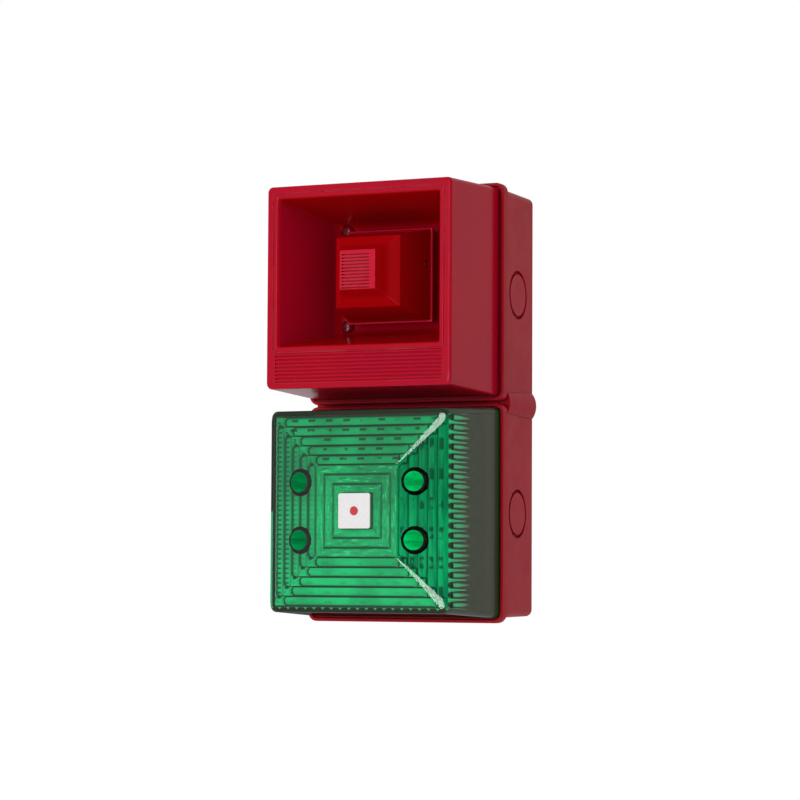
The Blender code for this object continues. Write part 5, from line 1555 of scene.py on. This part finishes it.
def can_capacitor(node):
    """Electrolytic can on its side: crimp groove, rolled end and a dished vent end."""
    half = span(node)[3]
    end = half.x
    crimp = CRIMP_SHARE * half.x
    lathed(node, BLACK, (
        (0.8 * half.z, 0.3 * MM - end, 0.2 * MM), (0.8 * half.z, -end, 0.1 * MM),
        (half.z, -end, 0.5 * MM),
        (half.z, end - 2.4 * crimp, 0.3 * MM),
        (half.z - CAPACITOR_GROOVE, end - 2.0 * crimp, 0.3 * MM),
        (half.z, end - 1.6 * crimp, 0.3 * MM), (half.z, end, 0.5 * MM),
        (0.72 * half.z, end, 0.2 * MM), (0.70 * half.z, end - 0.4 * MM, 0.2 * MM)),
        "X", closed=False)


def flash_lamp():
    """Straight glass tube with drawn-in ends and a metal electrode in each."""
    middle, half = span("flash_tube")[2:]
    end = half.x
    bore = half.z - TUBE_WALL
    glass = turned((
        (0.7 * half.z, -end, TUBE_SHOULDER), (half.z, 1.6 * MM - end, TUBE_SHOULDER),
        (half.z, end - 1.6 * MM, TUBE_SHOULDER), (0.7 * half.z, end, TUBE_SHOULDER)),
        "X", middle, 48)
    hollow = turned((
        (0.0, 2.5 * MM - end, 0.0), (bore, 3.5 * MM - end, TUBE_SHOULDER),
        (bore, end - 3.5 * MM, TUBE_SHOULDER), (0.0, end - 2.5 * MM, 0.0)), "X", middle, 48)
    bmesh.ops.reverse_faces(hollow, faces=hollow.faces)
    rods = [painted(drum(ELECTRODE_R, side * (end - 8.0 * MM), side * (end - 4.2 * MM), "X",
                         middle, 0.3 * MM, 24), 1) for side in SIDES]
    piece("flash_tube_blown", gathered([glass, hollow] + rods), (GLASS, STEEL), "flash_tube")


def trigger_winding():
    """Bobbin with two flanges and its winding between them."""
    half = span("trigger_coil")[3]
    core = half.x - 0.9 * MM
    start = FLANGE_THICK - half.y
    turns = winding(core, core - 0.12 * MM, start, -start, TRIGGER_TURNS)
    lathed("trigger_coil", COPPER, [
        (half.x, -half.y, 0.2 * MM), (half.x, start, 0.2 * MM)] + turns + [
        (half.x, -start, 0.2 * MM), (half.x, half.y, 0.2 * MM)], closed=False)


def link_fittings():
    """Threaded hollow bush between the boxes and its two hexagon nuts."""
    half = BUSH_HALF
    root = half.x - BUSH_THREAD
    thread = [(root, -half.z, 0.0)]
    along = BUSH_PITCH / 2 - half.z
    while along < half.z - BUSH_PITCH:
        thread += [(root, along, 0.0), (half.x, along + 0.45 * BUSH_PITCH, 0.0),
                   (half.x, along + 0.55 * BUSH_PITCH, 0.0)]
        along += BUSH_PITCH
    thread.append((root, half.z, 0.0))
    lathed("link_bush", BLACK, [
        (BUSH_BORE_R, half.z, 0.3 * MM), (BUSH_BORE_R, -half.z, 0.3 * MM)] + thread, "Z")
    for node in ("upper_link_nut", "lower_link_nut"):
        at, extent = span(node)[2:]
        bm = rotated(drum(extent.y, -extent.z, extent.z, "Z", at, steps=6), math.pi / 2, "Z", at)
        bevelled(bm, bm.edges[:], NUT_CHAMFER)
        hole = drum(half.x + 0.05 * MM, -extent.z - MM, extent.z + MM, "Z", at)
        piece(f"{node}_hexagon", shaped(bm, hole), BLACK, node, bevel=0.1 * MM)


def volume_dial():
    """Trimmer rotor with a driver slot and a pointer cut across it."""
    _, high, middle, half = span("volume_rotor")
    reach, thin = ROTOR_SLOT
    bm = drum(half.x, -half.y, half.y, "Y", middle, 0.25 * MM, 72)
    floor_y, above_y = high.y - ROTOR_SLOT_DEEP, high.y + MM
    for left, right, bottom, top in ((-reach, reach, -thin, thin), (-thin, thin, 0.0, reach)):
        bm = shaped(bm, slab((middle.x + left, floor_y, middle.z + bottom),
                             (middle.x + right, above_y, middle.z + top)))
    piece("volume_rotor_dial", bm, WHITE, "volume_rotor", bevel=0.06 * MM)


def carried_over():
    """CAD nodes kept as they are, with their own finish and rounded edges."""
    for material, nodes in KEPT.items():
        for node in nodes:
            obj = frame["nodes"][node]
            obj.data.materials.clear()
            obj.data.materials.append(material)
            edge_rounding(obj, KEPT_EDGE, harden=True)


def insides():
    driver()
    moving_film()
    can_capacitor("sounder_capacitor")
    can_capacitor("flash_capacitor")
    flash_lamp()
    trigger_winding()
    link_fittings()
    volume_dial()
    carried_over()


# ---------------------------------------------------------------- stage, light and camera

FLOOR_SIZE = 5.0
FLOOR_Z = -0.9
LAMP_PLACE = (-0.50, -2.45, 0.03)
LAMP_SIZE = (0.33, 1.6)
LAMP_POWER = 15.0
CAMERA_PLACE = (612.5 * MM, -1314.9 * MM, -84.8 * MM)
CAMERA_RIGHT = Vector((0.90060, 0.43462, 0.00537))
CAMERA_UP = Vector((0.02181, -0.05753, 0.99811))
CAMERA_LENS = 129.16


def stage():
    """Wide pale floor below the object."""
    bpy.ops.mesh.primitive_plane_add(size=FLOOR_SIZE, location=(0.0, 0.0, FLOOR_Z))
    floor = bpy.context.object
    floor.name = "floor"
    g = graph_of("pale_floor")
    tint = g.blend(g.noise(4.0, 3.0), (0.80, 0.80, 0.80), (0.84, 0.84, 0.84))
    floor.data.materials.append(g.done(g.principled(Base_Color=tint, Roughness=0.6)))


def studio_world():
    """White room: plain white to the camera, dimmer in front for the mirror reflections."""
    world = bpy.data.worlds.new("studio")
    bpy.context.scene.world = world
    world.cycles.sampling_method = "NONE"
    g = Graph(world, "World", "Generated")

    def towards(direction, *limits):
        """Ramp over how far a ray goes along a direction."""
        return g.add("ShaderNodeVectorMath", {0: g.place, 1: Vector(direction).normalized()},
                     "Value", operation="DOT_PRODUCT").ramp(*limits)

    def rays(kind):
        return g.add("ShaderNodeLightPath", output=f"Is {kind} Ray")

    soft = towards((-0.2, -1.0, -0.55), -0.6, 0.9, 0.62, 1.0)
    left = towards((-0.951, 0.309, 0.0), -0.06, 0.10, 0.04, 0.58)
    behind = towards((0.4, 0.91, 0.1), 0.5, 0.9, 0.0, 0.56)
    strength = leaning(rays("Glossy"), soft, left.maths("MAXIMUM", behind))
    strength = leaning(rays("Camera"), strength, 1.0)
    g.done(g.add("ShaderNodeBackground", {"Color": (1.0, 1.0, 1.0), "Strength": strength}))


def strip_lamp():
    """Tall soft box aimed at the middle of the frame."""
    data = bpy.data.lights.new("strip", "AREA")
    data.shape = "RECTANGLE"
    data.size, data.size_y = LAMP_SIZE
    data.energy = LAMP_POWER
    obj = in_scene("strip", data)
    obj.location = LAMP_PLACE
    obj.rotation_euler = (-Vector(LAMP_PLACE)).to_track_quat("-Z", "Y").to_euler()


def camera():
    data = bpy.data.cameras.new("camera")
    data.lens = CAMERA_LENS
    data.sensor_width = 36.0
    data.clip_start = 0.05
    obj = in_scene("camera", data)
    back = CAMERA_RIGHT.cross(CAMERA_UP).normalized()
    up = back.cross(CAMERA_RIGHT).normalized()
    turn = Matrix((up.cross(back), up, back)).transposed().to_4x4()
    obj.matrix_world = Matrix.Translation(CAMERA_PLACE) @ turn
    bpy.context.scene.camera = obj


back_boxes()
gaskets()
link_bar()
horn_housing()
horn_plug()
screws()
beacon_lens()
label()
insides()
stage()
studio_world()
strip_lamp()
camera()
bpy.context.scene.view_settings.view_transform = "Standard"
bpy.context.scene.view_settings.look = "None"
